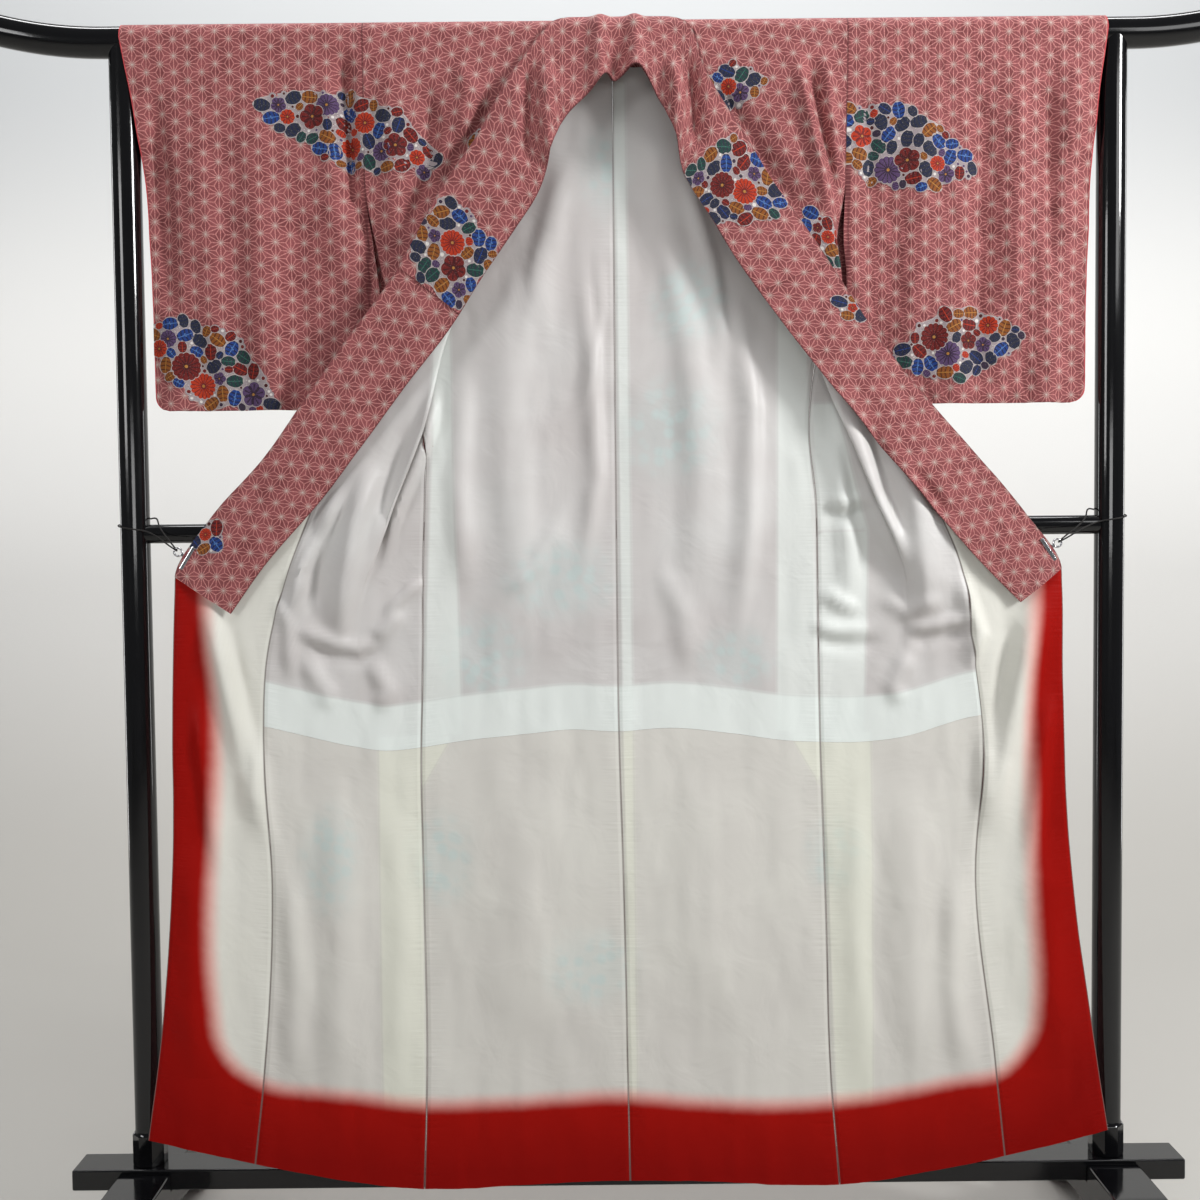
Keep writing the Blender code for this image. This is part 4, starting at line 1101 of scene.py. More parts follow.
@dataclass(frozen=True)
class SilkLining:
    """Plain-woven silk lining (habutae), thin and calendered: a soft sheen and a faint show-through.

    The strips are the doubled seam allowances behind it, whiter because nothing rosy shows through.
    Its threads are 0.1 mm apart and are drawn as slubs 0.9 mm apart, so that they show.
    """

    name: str = "silk_lining"
    ground: str = "#C3BEBC"
    ground_pale: str = "#CFCDCB"
    strip: str = "#E6EDE8"
    band: str = "#E4EBE7"
    ghost: str = "#BDD0CE"
    border: str = "#9C0B03"
    border_deep: str = "#860502"
    border_fresh: str = "#E2452C"
    border_soft: float = 0.036
    edge_line: str = "#9A9794"
    # painted shade in the seams' grooves, darkest at the seam itself
    seam_shade: str = "#6E6460"
    gloss: float = 0.4

    def build(self) -> bpy.types.Material:
        """Dye the silk as the fields strip, band, ghost and red mark it out, and paint shade along the seams.

        Returns:
            The material.
        """
        g = Graph(self.name)
        uv = g.add("UVMap", uv_map=UV)
        slub = g.noise(g.stretched(uv, (1.0, 0.07, 1.0)), 1100.0, 2.0)
        wide = g.stretched(uv, (0.07, 1.0, 1.0))
        weft = g.noise(wide, 1100.0, 2.0)
        colour = g.mix(g.ramp(g.noise(uv, 5.5, 3.0), 0.35, 0.65), self.ground, self.ground_pale)
        spots = g.add("TexVoronoi", {"Vector": uv, "Scale": 55.0, "Randomness": 0.9}, "Distance")
        ghost = g.math("MULTIPLY", g.field("ghost"), g.ramp(spots, 0.6, 0.3, 0.35, 0.9))
        colour = g.mix(ghost, colour, self.ghost)
        for name, code, most in (("strip", self.strip, 0.6), ("band", self.band, 0.8)):
            far = g.field(name)
            colour = g.mix(g.ramp(far, 0.0035, -0.0035, 0.0, most), colour, code)
            line = g.ramp(g.math("ABSOLUTE", far, 0.0), 0.0016, 0.0004, 0.0, 0.1)
            colour = g.mix(line, colour, self.edge_line)
        dyed, dye = self.dip(g, uv)
        colour = g.mix(dyed, colour, dye)
        seam = g.field("seam")
        # painted shade along the seams, within 1.6 mm of a panel's edge
        colour = g.mix(g.ramp(seam, 0.0016, 0.0006, 0.0, 0.75), colour, self.seam_shade)
        gather = g.math("MULTIPLY", g.noise(wide, 230.0, 1.0), g.ramp(seam, 0.035, 0.002))
        bump = g.bump(0.35, 0.006, g.noise(uv, 14.0, 3.0, Distortion=0.6))
        bump = g.bump(0.4, 0.0015, gather, bump)
        bump = g.bump(0.8, 0.0014, g.ramp(seam, 0.0065, 0.0, 1.0, 0.0, "SMOOTHSTEP"), bump)
        bump = g.bump(0.2, 0.0002, slub, bump)
        bump = g.bump(0.2, 0.0002, weft, bump)
        return g.done(Base_Color=colour, Roughness=g.ramp(slub, 0.3, 0.7, 0.4, 0.56),
                      Specular_IOR_Level=self.gloss, Normal=bump)

    def dip(self, g: Graph, uv: Any) -> tuple[Any, Any]:
        """How far the dip dye has taken, and its red: fresh at the edge, deeper inside.

        Args:
            g: The material's graph.
            uv: Place in the cloth, in metres.

        Returns:
            Both, as sockets.
        """
        feather = g.ramp(g.noise(uv, 60.0, 4.0), 0.2, 0.8, -0.0008, 0.0008)
        red = g.math("ADD", g.field("red"), feather)
        dyed = g.ramp(red, -self.border_soft / 2, self.border_soft / 2, shape="SMOOTHSTEP")
        dye = g.mix(g.ramp(red, 0.0, 0.1), self.border, self.border_deep)
        return dyed, g.mix(g.ramp(dyed, 0.25, 1.0), self.border_fresh, dye)


@dataclass(frozen=True)
class PrintedCrepe:
    """The same crepe where it is hand-dyed with flowers: matt pigment, soft where it meets the grain."""

    name: str = "printed_crepe"
    grain: float = 0.0013
    shade: str = "#1D1413"
    fleck: str = "#CFC6C2"

    def build(self) -> bpy.types.Material:
        """Dye the crepe in the face colours.

        Returns:
            The material.
        """
        g = Graph(self.name)
        uv = g.add("UVMap", uv_map=UV)
        crepe = g.noise(uv, 1 / self.grain, 2.0)
        colour = g.mix(g.ramp(crepe, 0.25, 0.75, 0.0, 0.34), g.field("print", "Color"), self.shade)
        colour = g.mix(g.ramp(g.noise(uv, 620.0, 1.0), 0.62, 0.74, 0.0, 0.2), colour, self.fleck)
        return g.done(Base_Color=colour, Roughness=0.74, Specular_IOR_Level=0.25, Sheen_Weight=0.05,
                      Sheen_Roughness=0.5, Normal=g.bump(0.7, 0.0007, crepe))


@dataclass(frozen=True)
class BlackLacquer:
    """Black urethane lacquer on turned wood, sprayed and polished: deep gloss with a slight orange peel."""

    name: str = "black_lacquer"
    base: str = "#08080A"
    dust: str = "#8C8A88"

    def build(self) -> bpy.types.Material:
        """Add peel and dust, from Object coordinates.

        Returns:
            The material.
        """
        g = Graph(self.name)
        place = g.add("TexCoord", out="Object")
        colour = g.mix(g.ramp(g.noise(place, 900.0, 3.0), 0.66, 0.78, 0.0, 0.1), self.base, self.dust)
        rough = g.ramp(g.noise(place, 11.0, 3.0), 0.3, 0.7, 0.07, 0.15)
        return g.done(Base_Color=colour, Roughness=rough, IOR=1.53,
                      Normal=g.bump(0.1, 0.0002, g.noise(place, 160.0, 1.0)))


@dataclass(frozen=True)
class BrightChrome:
    """Chrome-plated spring steel, pressed and polished, with fine handling scratches."""

    name: str = "bright_chrome"
    base: str = "#CFCFD2"

    def build(self) -> bpy.types.Material:
        """Add scratches, from Object coordinates.

        Returns:
            The material.
        """
        g = Graph(self.name)
        place = g.add("TexCoord", out="Object")
        marks = g.noise(g.stretched(place, (1.0, 1.0, 0.06)), 2600.0, 2.0)
        return g.done(Base_Color=rgba(self.base), Metallic=1.0, Roughness=g.ramp(marks, 0.35, 0.7, 0.1, 0.26),
                      Normal=g.bump(0.05, 0.0001, marks))


@dataclass(frozen=True)
class BraidedElastic:
    """Thin round elastic with a braided polyester cover, black and matt, plaits 1.6 mm long."""

    name: str = "braided_elastic"
    low: str = "#0B0A0A"
    high: str = "#24211F"

    def build(self) -> bpy.types.Material:
        """Draw the braid along the map UV.

        Returns:
            The material.
        """
        g = Graph(self.name)
        uv = g.add("UVMap", uv_map=UV)
        wave = {"Vector": uv, "Scale": 190.0, "Distortion": 0.4}
        braid = g.add("TexWave", wave, bands_direction="DIAGONAL")
        return g.done(Base_Color=g.mix(braid, self.low, self.high), Roughness=0.85,
                      Normal=g.bump(0.6, 0.0003, braid))


@dataclass(frozen=True)
class PaperBackdrop:
    """Seamless studio paper, pale grey and matt, with painted shade that makes it a little darker towards the
    floor and the top.
    """

    name: str = "paper_backdrop"
    tooth: tuple[str, str] = ("#DADAD8", "#DEDEDC")
    # painted shade: what the paper fades to towards the floor and towards the top
    floor: str = "#ABA9A4"
    top: str = "#AEB0B1"

    def build(self) -> bpy.types.Material:
        """Add the faint tooth of paper, and painted shade towards the floor and the top.

        Returns:
            The material.
        """
        g = Graph(self.name)
        place = g.add("TexCoord", out="Object")
        colour = g.mix(g.ramp(g.noise(place, 400.0, 2.0), 0.3, 0.7), *self.tooth)
        height = g.add("SeparateXYZ", {"Vector": place}, "Z")
        # painted shade, darker towards the floor and towards the top
        colour = g.mix(g.ramp(height, 1.3, 0.0, shape="SMOOTHSTEP"), colour, self.floor)
        colour = g.mix(g.ramp(height, 1.5, 2.5, shape="SMOOTHSTEP"), colour, self.top)
        return g.done(Base_Color=colour, Roughness=0.9)


@dataclass(frozen=True)
class Finishes:
    """All the materials of the scene."""

    crepe: bpy.types.Material
    puckered: bpy.types.Material
    lining: bpy.types.Material
    skirt: bpy.types.Material
    overlap: bpy.types.Material
    printed: bpy.types.Material
    lacquer: bpy.types.Material
    chrome: bpy.types.Material
    elastic: bpy.types.Material

    @classmethod
    def made(cls) -> "Finishes":
        """Build each finish once.

        Returns:
            The finishes.
        """
        skirt = SilkLining("skirt_silk", "#CFCCC6", "#D6D4CD", "#E2E4D4", gloss=0.1)
        overlap = SilkLining("overlap_silk", "#D8D7CE", "#DDDCD4", "#E2E4D4", gloss=0.1)
        puckered = HempLeafCrepe("puckered_crepe", pucker=1.0)
        return cls(HempLeafCrepe().build(), puckered.build(), SilkLining().build(), skirt.build(),
                   overlap.build(), PrintedCrepe().build(),
                   BlackLacquer().build(), BrightChrome().build(), BraidedElastic().build())


# Studio


@dataclass(frozen=True)
class Lamp:
    """One soft rectangular lamp, aimed at a point."""

    name: str
    place: tuple[float, float, float]
    aim: tuple[float, float, float]
    size: tuple[float, float]
    power: float

    def build(self) -> None:
        """Add the lamp."""
        data = bpy.data.lights.new(self.name, "AREA")
        data.shape = "RECTANGLE"
        data.size, data.size_y = self.size
        data.energy = self.power
        lamp = linked(self.name, data)
        lamp.location = self.place
        lamp.rotation_euler = (Vector(self.aim) - Vector(self.place)).to_track_quat("-Z", "Y").to_euler()


@dataclass
class Studio:
    """Pale paper that curves up behind the object, soft lamps and the camera."""

    width: float = 9.0
    front: float = -4.5
    bend_start: float = 1.3
    bend: float = 0.9
    top: float = 4.2
    camera_place: tuple[float, float, float] = (-0.0348, -1.9665, 1.009)
    yaw: float = 0.0009
    pitch: float = 0.0431
    roll: float = -0.0102
    lens: float = 41.27
    air_colour: str = "#EDEFF2"
    air_strength: float = 0.15
    lamps: tuple[Lamp, ...] = (
        Lamp("lamp_key", (2.6, -1.5, 2.3), (0.0, 0.0, 1.0), (0.6, 0.6), 81.5),
        Lamp("lamp_fill", (-2.4, -2.4, 1.8), (0.0, 0.0, 1.0), (1.0, 1.0), 24.0),
        Lamp("lamp_top", (-0.3, -1.2, 3.6), (0.0, 0.1, 0.9), (1.6, 1.0), 24.0),
        Lamp("lamp_front", (0.2, -3.9, 1.2), (0.0, 0.0, 1.2), (1.6, 0.5), 14.0),
        Lamp("lamp_sleeve", (1.35, -1.1, 1.8), (0.62, 0.0, 1.5), (0.5, 0.5), 3.2),
        Lamp("lamp_strip_left", (-3.0, 1.3, 1.2), (-0.6, 0.0, 1.1), (0.3, 2.4), 16.0),
        Lamp("lamp_strip_right", (3.0, 1.3, 1.2), (0.6, 0.0, 1.1), (0.3, 2.4), 16.0),
        Lamp("lamp_paper", (0.0, 0.6, 4.0), (0.0, 2.2, 2.1), (4.4, 0.8), 125.0),
    )

    def build(self) -> None:
        """Add paper, lamps, world and camera."""
        self.paper()
        for lamp in self.lamps:
            lamp.build()
        self.world()
        self.camera()

    def paper(self) -> None:
        """The paper: a level floor, a quarter circle and an upright, carried across the width."""
        turn = np.linspace(0, math.pi / 2, 25)
        upright = self.bend_start + self.bend
        y = np.concatenate([[self.front], self.bend_start + self.bend * np.sin(turn), [upright]])
        z = np.concatenate([[0.0], self.bend * (1 - np.cos(turn)), [self.top]])
        x = np.linspace(-self.width / 2, self.width / 2, 9)
        grid = np.stack(np.broadcast_arrays(x[None, :], y[:, None], z[:, None]), 2)
        mesh = bpy.data.meshes.new("paper")
        mesh.from_pydata(grid.reshape(-1, 3).tolist(), [], grid_faces(len(y), len(x)).tolist())
        mesh.materials.append(PaperBackdrop().build())
        mesh.shade_smooth()
        linked("paper", mesh)

    def world(self) -> None:
        """Even grey light from all round."""
        bpy.context.scene.view_settings.view_transform = "Standard"
        world = bpy.data.worlds.new("studio_air")
        world.use_nodes = True
        air = world.node_tree.nodes["Background"]
        air.inputs["Color"].default_value = rgba(self.air_colour)
        air.inputs["Strength"].default_value = self.air_strength
        bpy.context.scene.world = world

    def camera(self) -> None:
        """The camera, from its place, yaw, pitch and roll."""
        forward = np.array([
            math.sin(self.yaw) * math.cos(self.pitch), math.cos(self.yaw) * math.cos(self.pitch),
            -math.sin(self.pitch),
        ])
        level = np.array([math.cos(self.yaw), -math.sin(self.yaw), 0.0])
        upright = np.cross(level, forward)
        right = math.cos(self.roll) * level + math.sin(self.roll) * upright
        up = math.cos(self.roll) * upright - math.sin(self.roll) * level
        data = bpy.data.cameras.new("camera")
        data.lens = self.lens
        data.sensor_width = 36.0
        camera = linked("camera", data)
        basis = np.eye(4)
        basis[:3, :3] = np.stack([right, up, -forward], 1)
        basis[:3, 3] = self.camera_place
        camera.matrix_world = Matrix(basis.tolist())
        bpy.context.scene.camera = camera


# Stand


@dataclass
class UprightFrame:
    """The round rail, two posts and the crossbar between them."""

    straight: float = 0.72
    half: float = 0.925
    lift: float = 0.035
    socket_flat: float = 0.0225
    socket_height: float = 0.045
    ease: float = 0.0008
    flare: float = 0.0006
    sides: int = 64

    def build(self, finishes: Finishes) -> None:
        """Make the rail, the posts and the crossbar.

        Args:
            finishes: The materials.
        """
        dress(self.rail(finishes.lacquer))
        for side in Side:
            dress(self.post(side, finishes.lacquer))
        dress(self.crossbar(finishes.lacquer))

    def rail(self, material: bpy.types.Material) -> bpy.types.Object:
        """A round bar on a level line whose ends rise as the square of the way out, rounded off as a dome.

        Args:
            material: Its finish.

        Returns:
            The piece.
        """
        inner = np.linspace(0, self.straight, 12)
        sweep = np.linspace(self.straight, self.half - RAIL_RADIUS, 24)[1:]
        dome = self.half - RAIL_RADIUS * (1 - np.sin(np.radians(np.linspace(6, 84, 12))))
        out = np.concatenate([inner, sweep, dome])
        rise = self.lift * np.clip((out - self.straight) / (self.half - self.straight), 0, 1) ** 2
        past = (out - self.half + RAIL_RADIUS).clip(0) / RAIL_RADIUS
        radius = RAIL_RADIUS * np.sqrt(np.clip(1 - past**2, 0.0, 1))
        half = np.stack([out, np.zeros(len(out)), RAIL_HEIGHT + rise], 1)
        path = np.concatenate([half[:0:-1] * (-1, 1, 1), half])
        return swept("rail_lacquered", path, np.concatenate([radius[:0:-1], radius]), material, self.sides)

    def rings_mesh(self, name: str, rings: list[Array], material: bpy.types.Material) -> bpy.types.Object:
        """A bar through rings whose ends are ruled across between points of equal depth.

        Args:
            name: Of the piece.
            rings: Each n x 3, in order.
            material: Its finish.

        Returns:
            The piece.
        """
        sides, last = self.sides, (len(rings) - 1) * self.sides
        ends = []
        for n in range(sides // 2):
            ring = list(dict.fromkeys([n, n + 1, sides - n - 1, (sides - n) % sides]))
            ends += [ring[::-1], [corner + last for corner in ring]]
        walls = grid_faces(len(rings), sides, True).tolist()
        return add_mesh(name, np.concatenate(rings), walls + ends, material, sharp=35.0)

    def post(self, side: Side, material: bpy.types.Material) -> bpy.types.Object:
        """A round post on an eight-sided base, its top hollowed by the rail's circle.

        Args:
            side: Which post.
            material: Its finish.

        Returns:
            The piece.
        """
        turn = np.arange(self.sides) / self.sides * 2 * math.pi
        unit_y, unit_x = np.cos(turn), side.value * np.sin(turn)
        eighth = math.pi / 4
        flat = self.socket_flat / np.cos((turn + eighth / 2) % eighth - eighth / 2)
        low = BEAM_TOP + GAP
        corner = low + self.socket_height
        even = np.ones(self.sides)
        top = RAIL_HEIGHT - np.sqrt((RAIL_RADIUS + GAP) ** 2 - (POST_RADIUS * unit_y) ** 2)
        profile = [
            (flat - self.ease, low), (flat, low + self.ease), (flat, corner - self.ease),
            (flat - self.ease, corner), (POST_RADIUS + self.flare, corner + 0.003),
            (POST_RADIUS, corner + 0.005),
            *((POST_RADIUS, height) for height in np.linspace(0.3, 1.68, 9)), (POST_RADIUS, top),
        ]
        rings = [
            np.stack([side.value * POST_X + radius * unit_x, radius * unit_y, even * height], 1)
            for radius, height in profile
        ]
        rings = rings if side is Side.LEFT else rings[::-1]
        return self.rings_mesh("post_" + side.word + "_lacquered", rings, material)

    def crossbar(self, material: bpy.types.Material) -> bpy.types.Object:
        """A thin round bar whose ends are hollowed by the posts' circles.

        Args:
            material: Its finish.

        Returns:
            The piece.
        """
        turn = np.arange(self.sides) / self.sides * 2 * math.pi
        y, z = CROSSBAR_RADIUS * np.cos(turn), CROSSBAR_HEIGHT + CROSSBAR_RADIUS * np.sin(turn)
        end = POST_X - np.sqrt((POST_RADIUS + GAP) ** 2 - y**2)
        places = (-end, *(np.full(self.sides, x) for x in np.linspace(-0.6, 0.6, 7)), end)
        return self.rings_mesh("crossbar_lacquered", [np.stack([x, y, z], 1) for x in places], material)


@dataclass
class StandBase:
    """The long flat beam and the two arched feet that it is let into."""

    beam_half: float = 0.8
    foot_half: float = 0.23
    foot_width: float = 0.075
    foot_top: float = 0.106
    toe: float = 0.03
    flat_top: float = 0.125
    arch_half: float = 0.15
    arch_height: float = 0.045
    edge: float = 0.006
    rounding: Edges = Edges(0.0028, 3, 32.0, 32.0, True)

    def build(self, finishes: Finishes) -> None:
        """Make the beam and both feet.

        Args:
            finishes: The materials.
        """
        y = BEAM_DEPTH / 2
        outline = np.array([(-y, BEAM_BOTTOM), (y, BEAM_BOTTOM), (y, BEAM_TOP), (-y, BEAM_TOP)])
        self.bar("beam", outline, 0.0, self.beam_half, finishes.lacquer)
        for side in Side:
            place = side.value * POST_X
            self.bar("foot_" + side.word, self.foot_outline(), place, self.foot_width / 2, finishes.lacquer)

    def bar(self, node: str, outline: Array, x: float, half: float, material: bpy.types.Material) -> None:
        """An outline in (y, z) carried along x to both sides of its place."""
        around = np.column_stack([np.full(len(outline), x), outline])
        dress(prism(node + "_lacquered", around, half * np.eye(3)[0], material, self.rounding))

    def foot_outline(self) -> Array:
        """(y, z) round a foot: a cosine slope down to each toe, and half an ellipse as its arch.

        Returns:
            n x 2.
        """
        notch = BEAM_DEPTH / 2 + GAP
        toe = self.foot_half - self.edge
        turn = np.linspace(0, math.pi / 2, 25)[:-1]
        slope = np.stack([
            self.flat_top + (toe - self.flat_top) * turn / (math.pi / 2),
            self.toe + (self.foot_top - self.toe) * np.cos(turn) ** 0.7,
        ], 1)
        arch_turn = np.linspace(0, math.pi / 2, 19)
        arch = np.stack([self.arch_half * np.cos(arch_turn), self.arch_height * np.sin(arch_turn)], 1)
        half = np.concatenate([
            [(notch, BEAM_BOTTOM - GAP), (notch, self.foot_top)], slope,
            [(toe, self.toe), (self.foot_half, self.toe - self.edge), (self.foot_half, 0.0)], arch,
        ])
        return np.concatenate([half, half[-2::-1] * (-1, 1)])


# Garment


@dataclass
class Marks:
    """What shows on the lining: seam allowances, the band, the dyed border and faint show-through.

    Each strip is (top level, left x, right x) at its ends; the border is the line where the dye
    has faded by half, from the left front edge round the hem to the right one.
    """

    border: Table = (
        (-0.584, 0.975), (-0.585, 0.931), (-0.575, 0.79), (-0.586, 0.362), (-0.578, 0.297), (-0.56, 0.267),
        (-0.522, 0.242), (-0.411, 0.224), (-0.29, 0.207), (-0.179, 0.208), (0.0, 0.215), (0.102, 0.205),
        (0.285, 0.203), (0.388, 0.218), (0.474, 0.235), (0.531, 0.246), (0.556, 0.27), (0.576, 0.306),
        (0.58, 0.349), (0.574, 0.493), (0.57, 0.636), (0.57, 0.849), (0.577, 0.931), (0.576, 0.975),
    )
    strips: tuple[tuple[float, float, float, float, float, float], ...] = (
        # z low, z high, x from and to at the low end, x from and to at the high end
        (0.1, 1.66, 0.001, 0.014, -0.008, 0.01),
        (0.1, 0.735, -0.35, -0.29, -0.35, -0.288),
        (0.735, 1.31, -0.288, -0.23, -0.262, -0.241),
        (0.1, 0.735, 0.302, 0.35, 0.278, 0.35),
        (0.735, 1.36, 0.216, 0.278, 0.222, 0.262),
        (0.735, 1.02, 0.278, 0.34, 0.275, 0.348),
        (1.02, 1.2, 0.275, 0.348, 0.268, 0.3),
        (0.66, 0.735, -0.292, -0.288, -0.292, -0.244),
        (0.66, 0.735, 0.276, 0.279, 0.232, 0.279),
    )
    band_height: float = 0.065
    seam_reach: float = 0.1  # how far the seam's curve moves the rows beside it
    border_points: int = 140
    ghost_strength: float = 0.7
    seam_curve: Table = (
        (-0.514, 0.753), (-0.46, 0.739), (-0.381, 0.72), (-0.34, 0.714), (-0.289, 0.718), (-0.234, 0.726),
        (-0.134, 0.736), (-0.08, 0.741), (-0.009, 0.738), (0.069, 0.742), (0.155, 0.733), (0.236, 0.722),
        (0.277, 0.72), (0.342, 0.72), (0.391, 0.726), (0.486, 0.754), (0.506, 0.758),
    )
    ghosts: tuple[tuple[float, float, float, float], ...] = (
        # x, z, half width, half height
        (0.097, 1.343, 0.05, 0.055), (0.067, 1.163, 0.065, 0.07), (-0.089, 0.954, 0.075, 0.05),
        (-0.203, 0.843, 0.06, 0.06), (-0.264, 0.559, 0.045, 0.06), (-0.42, 0.56, 0.04, 0.07),
        (0.3, 0.56, 0.04, 0.05), (-0.02, 1.53, 0.03, 0.06), (0.16, 0.84, 0.05, 0.04),
        (-0.05, 0.4, 0.06, 0.05),
    )

    def seam_level(self, x: Array) -> Array:
        """Height of the seam between upper and skirt lining."""
        return smooth(*np.array(self.seam_curve).T, x)

    def shifted(self, points: Array) -> Array:
        """Slide rows near the lining's seam up or down, so that the seam runs in its soft curve.

        Args:
            points: rows x columns x 3.

        Returns:
            The points, moved.
        """
        x = points[..., 0]
        now = LINING_SEAM + hem_rise(x, LINING_SEAM)
        near = np.exp(-(((points[..., 2] - now) / self.seam_reach) ** 2))
        moved = points.copy()
        moved[..., 2] += (self.seam_level(x) - now) * near
        return moved

    def border_distance(self, x: Array, z: Array) -> Array:
        """Signed distance to the border's line, positive in the dye.

        Args:
            x: Places across.
            z: Places up.

        Returns:
            The distance to the nearest stretch of the line, by the even-odd rule above or below it.
        """
        knots = np.array(self.border)
        keys = running(knots)
        line = smooth(keys, knots, np.linspace(0, keys[-1], self.border_points))
        near = np.full(x.shape, FAR)
        inside = np.zeros(x.shape, bool)
        for a, b in zip(line, np.roll(line, -1, axis=0)):
            crosses = (a[1] > z) != (b[1] > z)
            with np.errstate(divide="ignore", invalid="ignore"):
                at = a[0] + (z - a[1]) * (b - a)[0] / (b - a)[1]
            inside ^= crosses & (x < at)
            if abs(b[0] - a[0]) <= 0.5:
                near = np.minimum(near, np.hypot(*beside(x, z, a, b)[1:]))
        return np.where(inside | (z > line[0, 1]), -near, near)

    def fields(self, sheet: Sheet, upper: bool) -> dict[str, Array]:
        """The fields that the lining's finish reads.

        Args:
            sheet: The lining's panel.
            upper: Whether it is the upper lining.

        Returns:
            Signed distances in metres, negative inside, and the show-through from 0 to 1.
        """
        x, z = sheet.points[..., 0], sheet.points[..., 2]
        nowhere = np.full(x.shape, NOWHERE)
        strip = nowhere
        for low, high, a0, b0, a1, b1 in self.strips:
            t = np.clip((z - low) / (high - low), 0, 1)
            left, right = a0 + (a1 - a0) * t, b0 + (b1 - b0) * t
            strip = np.minimum(strip, np.maximum.reduce([left - x, x - right, low - z, z - high]))
        ghost = sum(np.exp(-(((x - gx) / gw) ** 2 + ((z - gz) / gh) ** 2) ** 2)
                    for gx, gz, gw, gh in self.ghosts) * self.ghost_strength
        band = z - self.seam_level(x) - self.band_height if upper else nowhere
        red = -nowhere if upper else self.border_distance(x, z)
        return {"strip": strip, "band": band, "ghost": ghost, "red": red}


@dataclass
class BodyPanels:
    """The two body panels and the lining behind them."""

    cells: tuple[int, int, int, int] = (14, 4, 20, 20)
    back_cell: float = 0.009
    back_columns: int = 56
    turns: int = 25  # rows of the half circle over the rail
    pull: tuple[float, float] = (11.0, 20.0)  # degrees by which the open panels' grain leans, left and right
    pull_fade: tuple[float, float] = (0.25, 0.27)  # where the lean ends behind, and over what length
    middle: float = 0.15  # the line about which the grain leans, from the panel's side
    linings: tuple[tuple[Any, ...], ...] = (
        # name, lower and upper end, whether in front, cut width and length, cut area
        ("lining_front_", LINING_SEAM, OPEN_LINING_TOP, True, (0.25, 0.7), 0.145),
        ("hakkake_front_", HEM, LINING_SEAM, True, (0.24, 0.66), None),
        ("lining_back_", LINING_SEAM, BACK_LINING_TOP, False, (0.3, 0.95), None),
        ("hakkake_back_", HEM, LINING_SEAM, False, (0.3, 0.66), None),
    )

    def build(self, finishes: Finishes, marks: Marks) -> dict[Side, Sheet]:
        """Make both body panels with their linings.

        Args:
            finishes: The materials.
            marks: What shows on the lining.

        Returns:
            The body panels' middle surfaces.
        """
        panels = {}
        for side in Side:
            sheet = panels[side] = self.body(side)
            outer_cloth("body_" + side.word, sheet, finishes.crepe, grain=self.grain(side, sheet))
            for row in self.linings:
                self.lining(side, finishes, marks, *row)
        return panels

    def body(self, side: Side) -> Sheet:
        """A body panel: up the front, round the rail as a circle, and down the back.

        Args:
            side: Which half.

        Returns:
            Its middle surface.
        """
        levels = np.concatenate([spread(HEM, OPEN_LINING_TOP), spread(OPEN_LINING_TOP, RAIL_HEIGHT)[1:]])
        front = front_points(side, levels, self.cells)
        top = front[-1, :, 0]
        across = (top - top[0]) / (top[-1] - top[0])
        angles = np.linspace(180, 0, self.turns)[1:-1]
        centre = float(column(BACK, BACK_COLUMNS, "centre_x", RAIL_HEIGHT)) + side.value * SEAM_HALF
        neck = sorted([(row[0], side.value * row[1]) for row in NECK] + [(NECK_BACK, centre)])
        inner = np.interp(angles, *np.array(neck).T)
        x = top[0] * (1 - across) + inner[:, None] * across
        down = spread(RAIL_HEIGHT, HEM, self.back_cell)
        back = back_points(side, down, across)
        points = np.concatenate([
            drape(front, FRONT_CREASES + BESIDE_COLLAR, BACK_CREASES),
            over_rail(x, np.radians(angles)[:, None]), drape(back, BACK_CREASES, FRONT_CREASES),
        ])
        along = np.concatenate([
            levels - RAIL_HEIGHT, (180 - angles) / 180 * math.pi * SHOULDER,
            math.pi * SHOULDER + RAIL_HEIGHT - down,
        ])
        u = np.concatenate([
            row_lengths(front), np.abs(x - top[0]),
            abs(top[0] - centre) - np.abs(back[..., 0] - back[:, -1:, 0]),
        ])
        return Sheet(points, cloth_map(u, along), -side.value)

    def grain(self, side: Side, sheet: Sheet) -> Array:
        """The map turned by pull degrees in front, where the open panel hangs askew, and straight behind.

        Args:
            side: Whose panel.
            sheet: Its cloth.

        Returns:
            rows x columns x 2.
        """
        u, v = sheet.uv[..., 0], sheet.uv[..., 1]
        end, fade = self.pull_fade
        turn = math.radians(-self.pull[0 if side is Side.LEFT else 1]) * step((end - v) / fade)
        across = u - self.middle
        cos, sin = np.cos(turn), np.sin(turn)
        return np.stack([across * cos + v * sin, v * cos - across * sin], 2)

    def lining(self, side: Side, finishes: Finishes, marks: Marks, name: str, low: float, high: float,
               front: bool, flat: tuple[float, float], area: float | None) -> None:
        """Make one lining from its panel's own rows, half a seam's gap away from the other lining.

        Args:
            side: Which half.
            finishes: The materials.
            marks: What shows on it.
            name: The solid's name without its side.
            low: Level of its lower end.
            high: Level of its upper end.
            front: Whether its panel is the front one.
            flat: Cut width and length; not used.
            area: Cut area, where it is less than the two give; not used.
        """
        upper = low == LINING_SEAM
        levels = spread(low, high) if front else spread(high, low)
        if front:
            points = front_points(side, levels, self.cells)
            own, beyond = FRONT_CREASES + BESIDE_COLLAR, BACK_CREASES
        else:
            points = back_points(side, levels, np.linspace(0, 1, self.back_columns))
            own, beyond = BACK_CREASES, FRONT_CREASES
        points[0 if front == upper else -1, :, 2] += SEAM_HALF if upper else -SEAM_HALF
        points = drape(marks.shifted(points), own, beyond)
        sheet = Sheet(points, cloth_map(row_lengths(points), levels), -side.value)
        silk = finishes.lining if upper else finishes.skirt
        inner_silk(name + side.word, sheet, silk, marks.fields(sheet, upper))


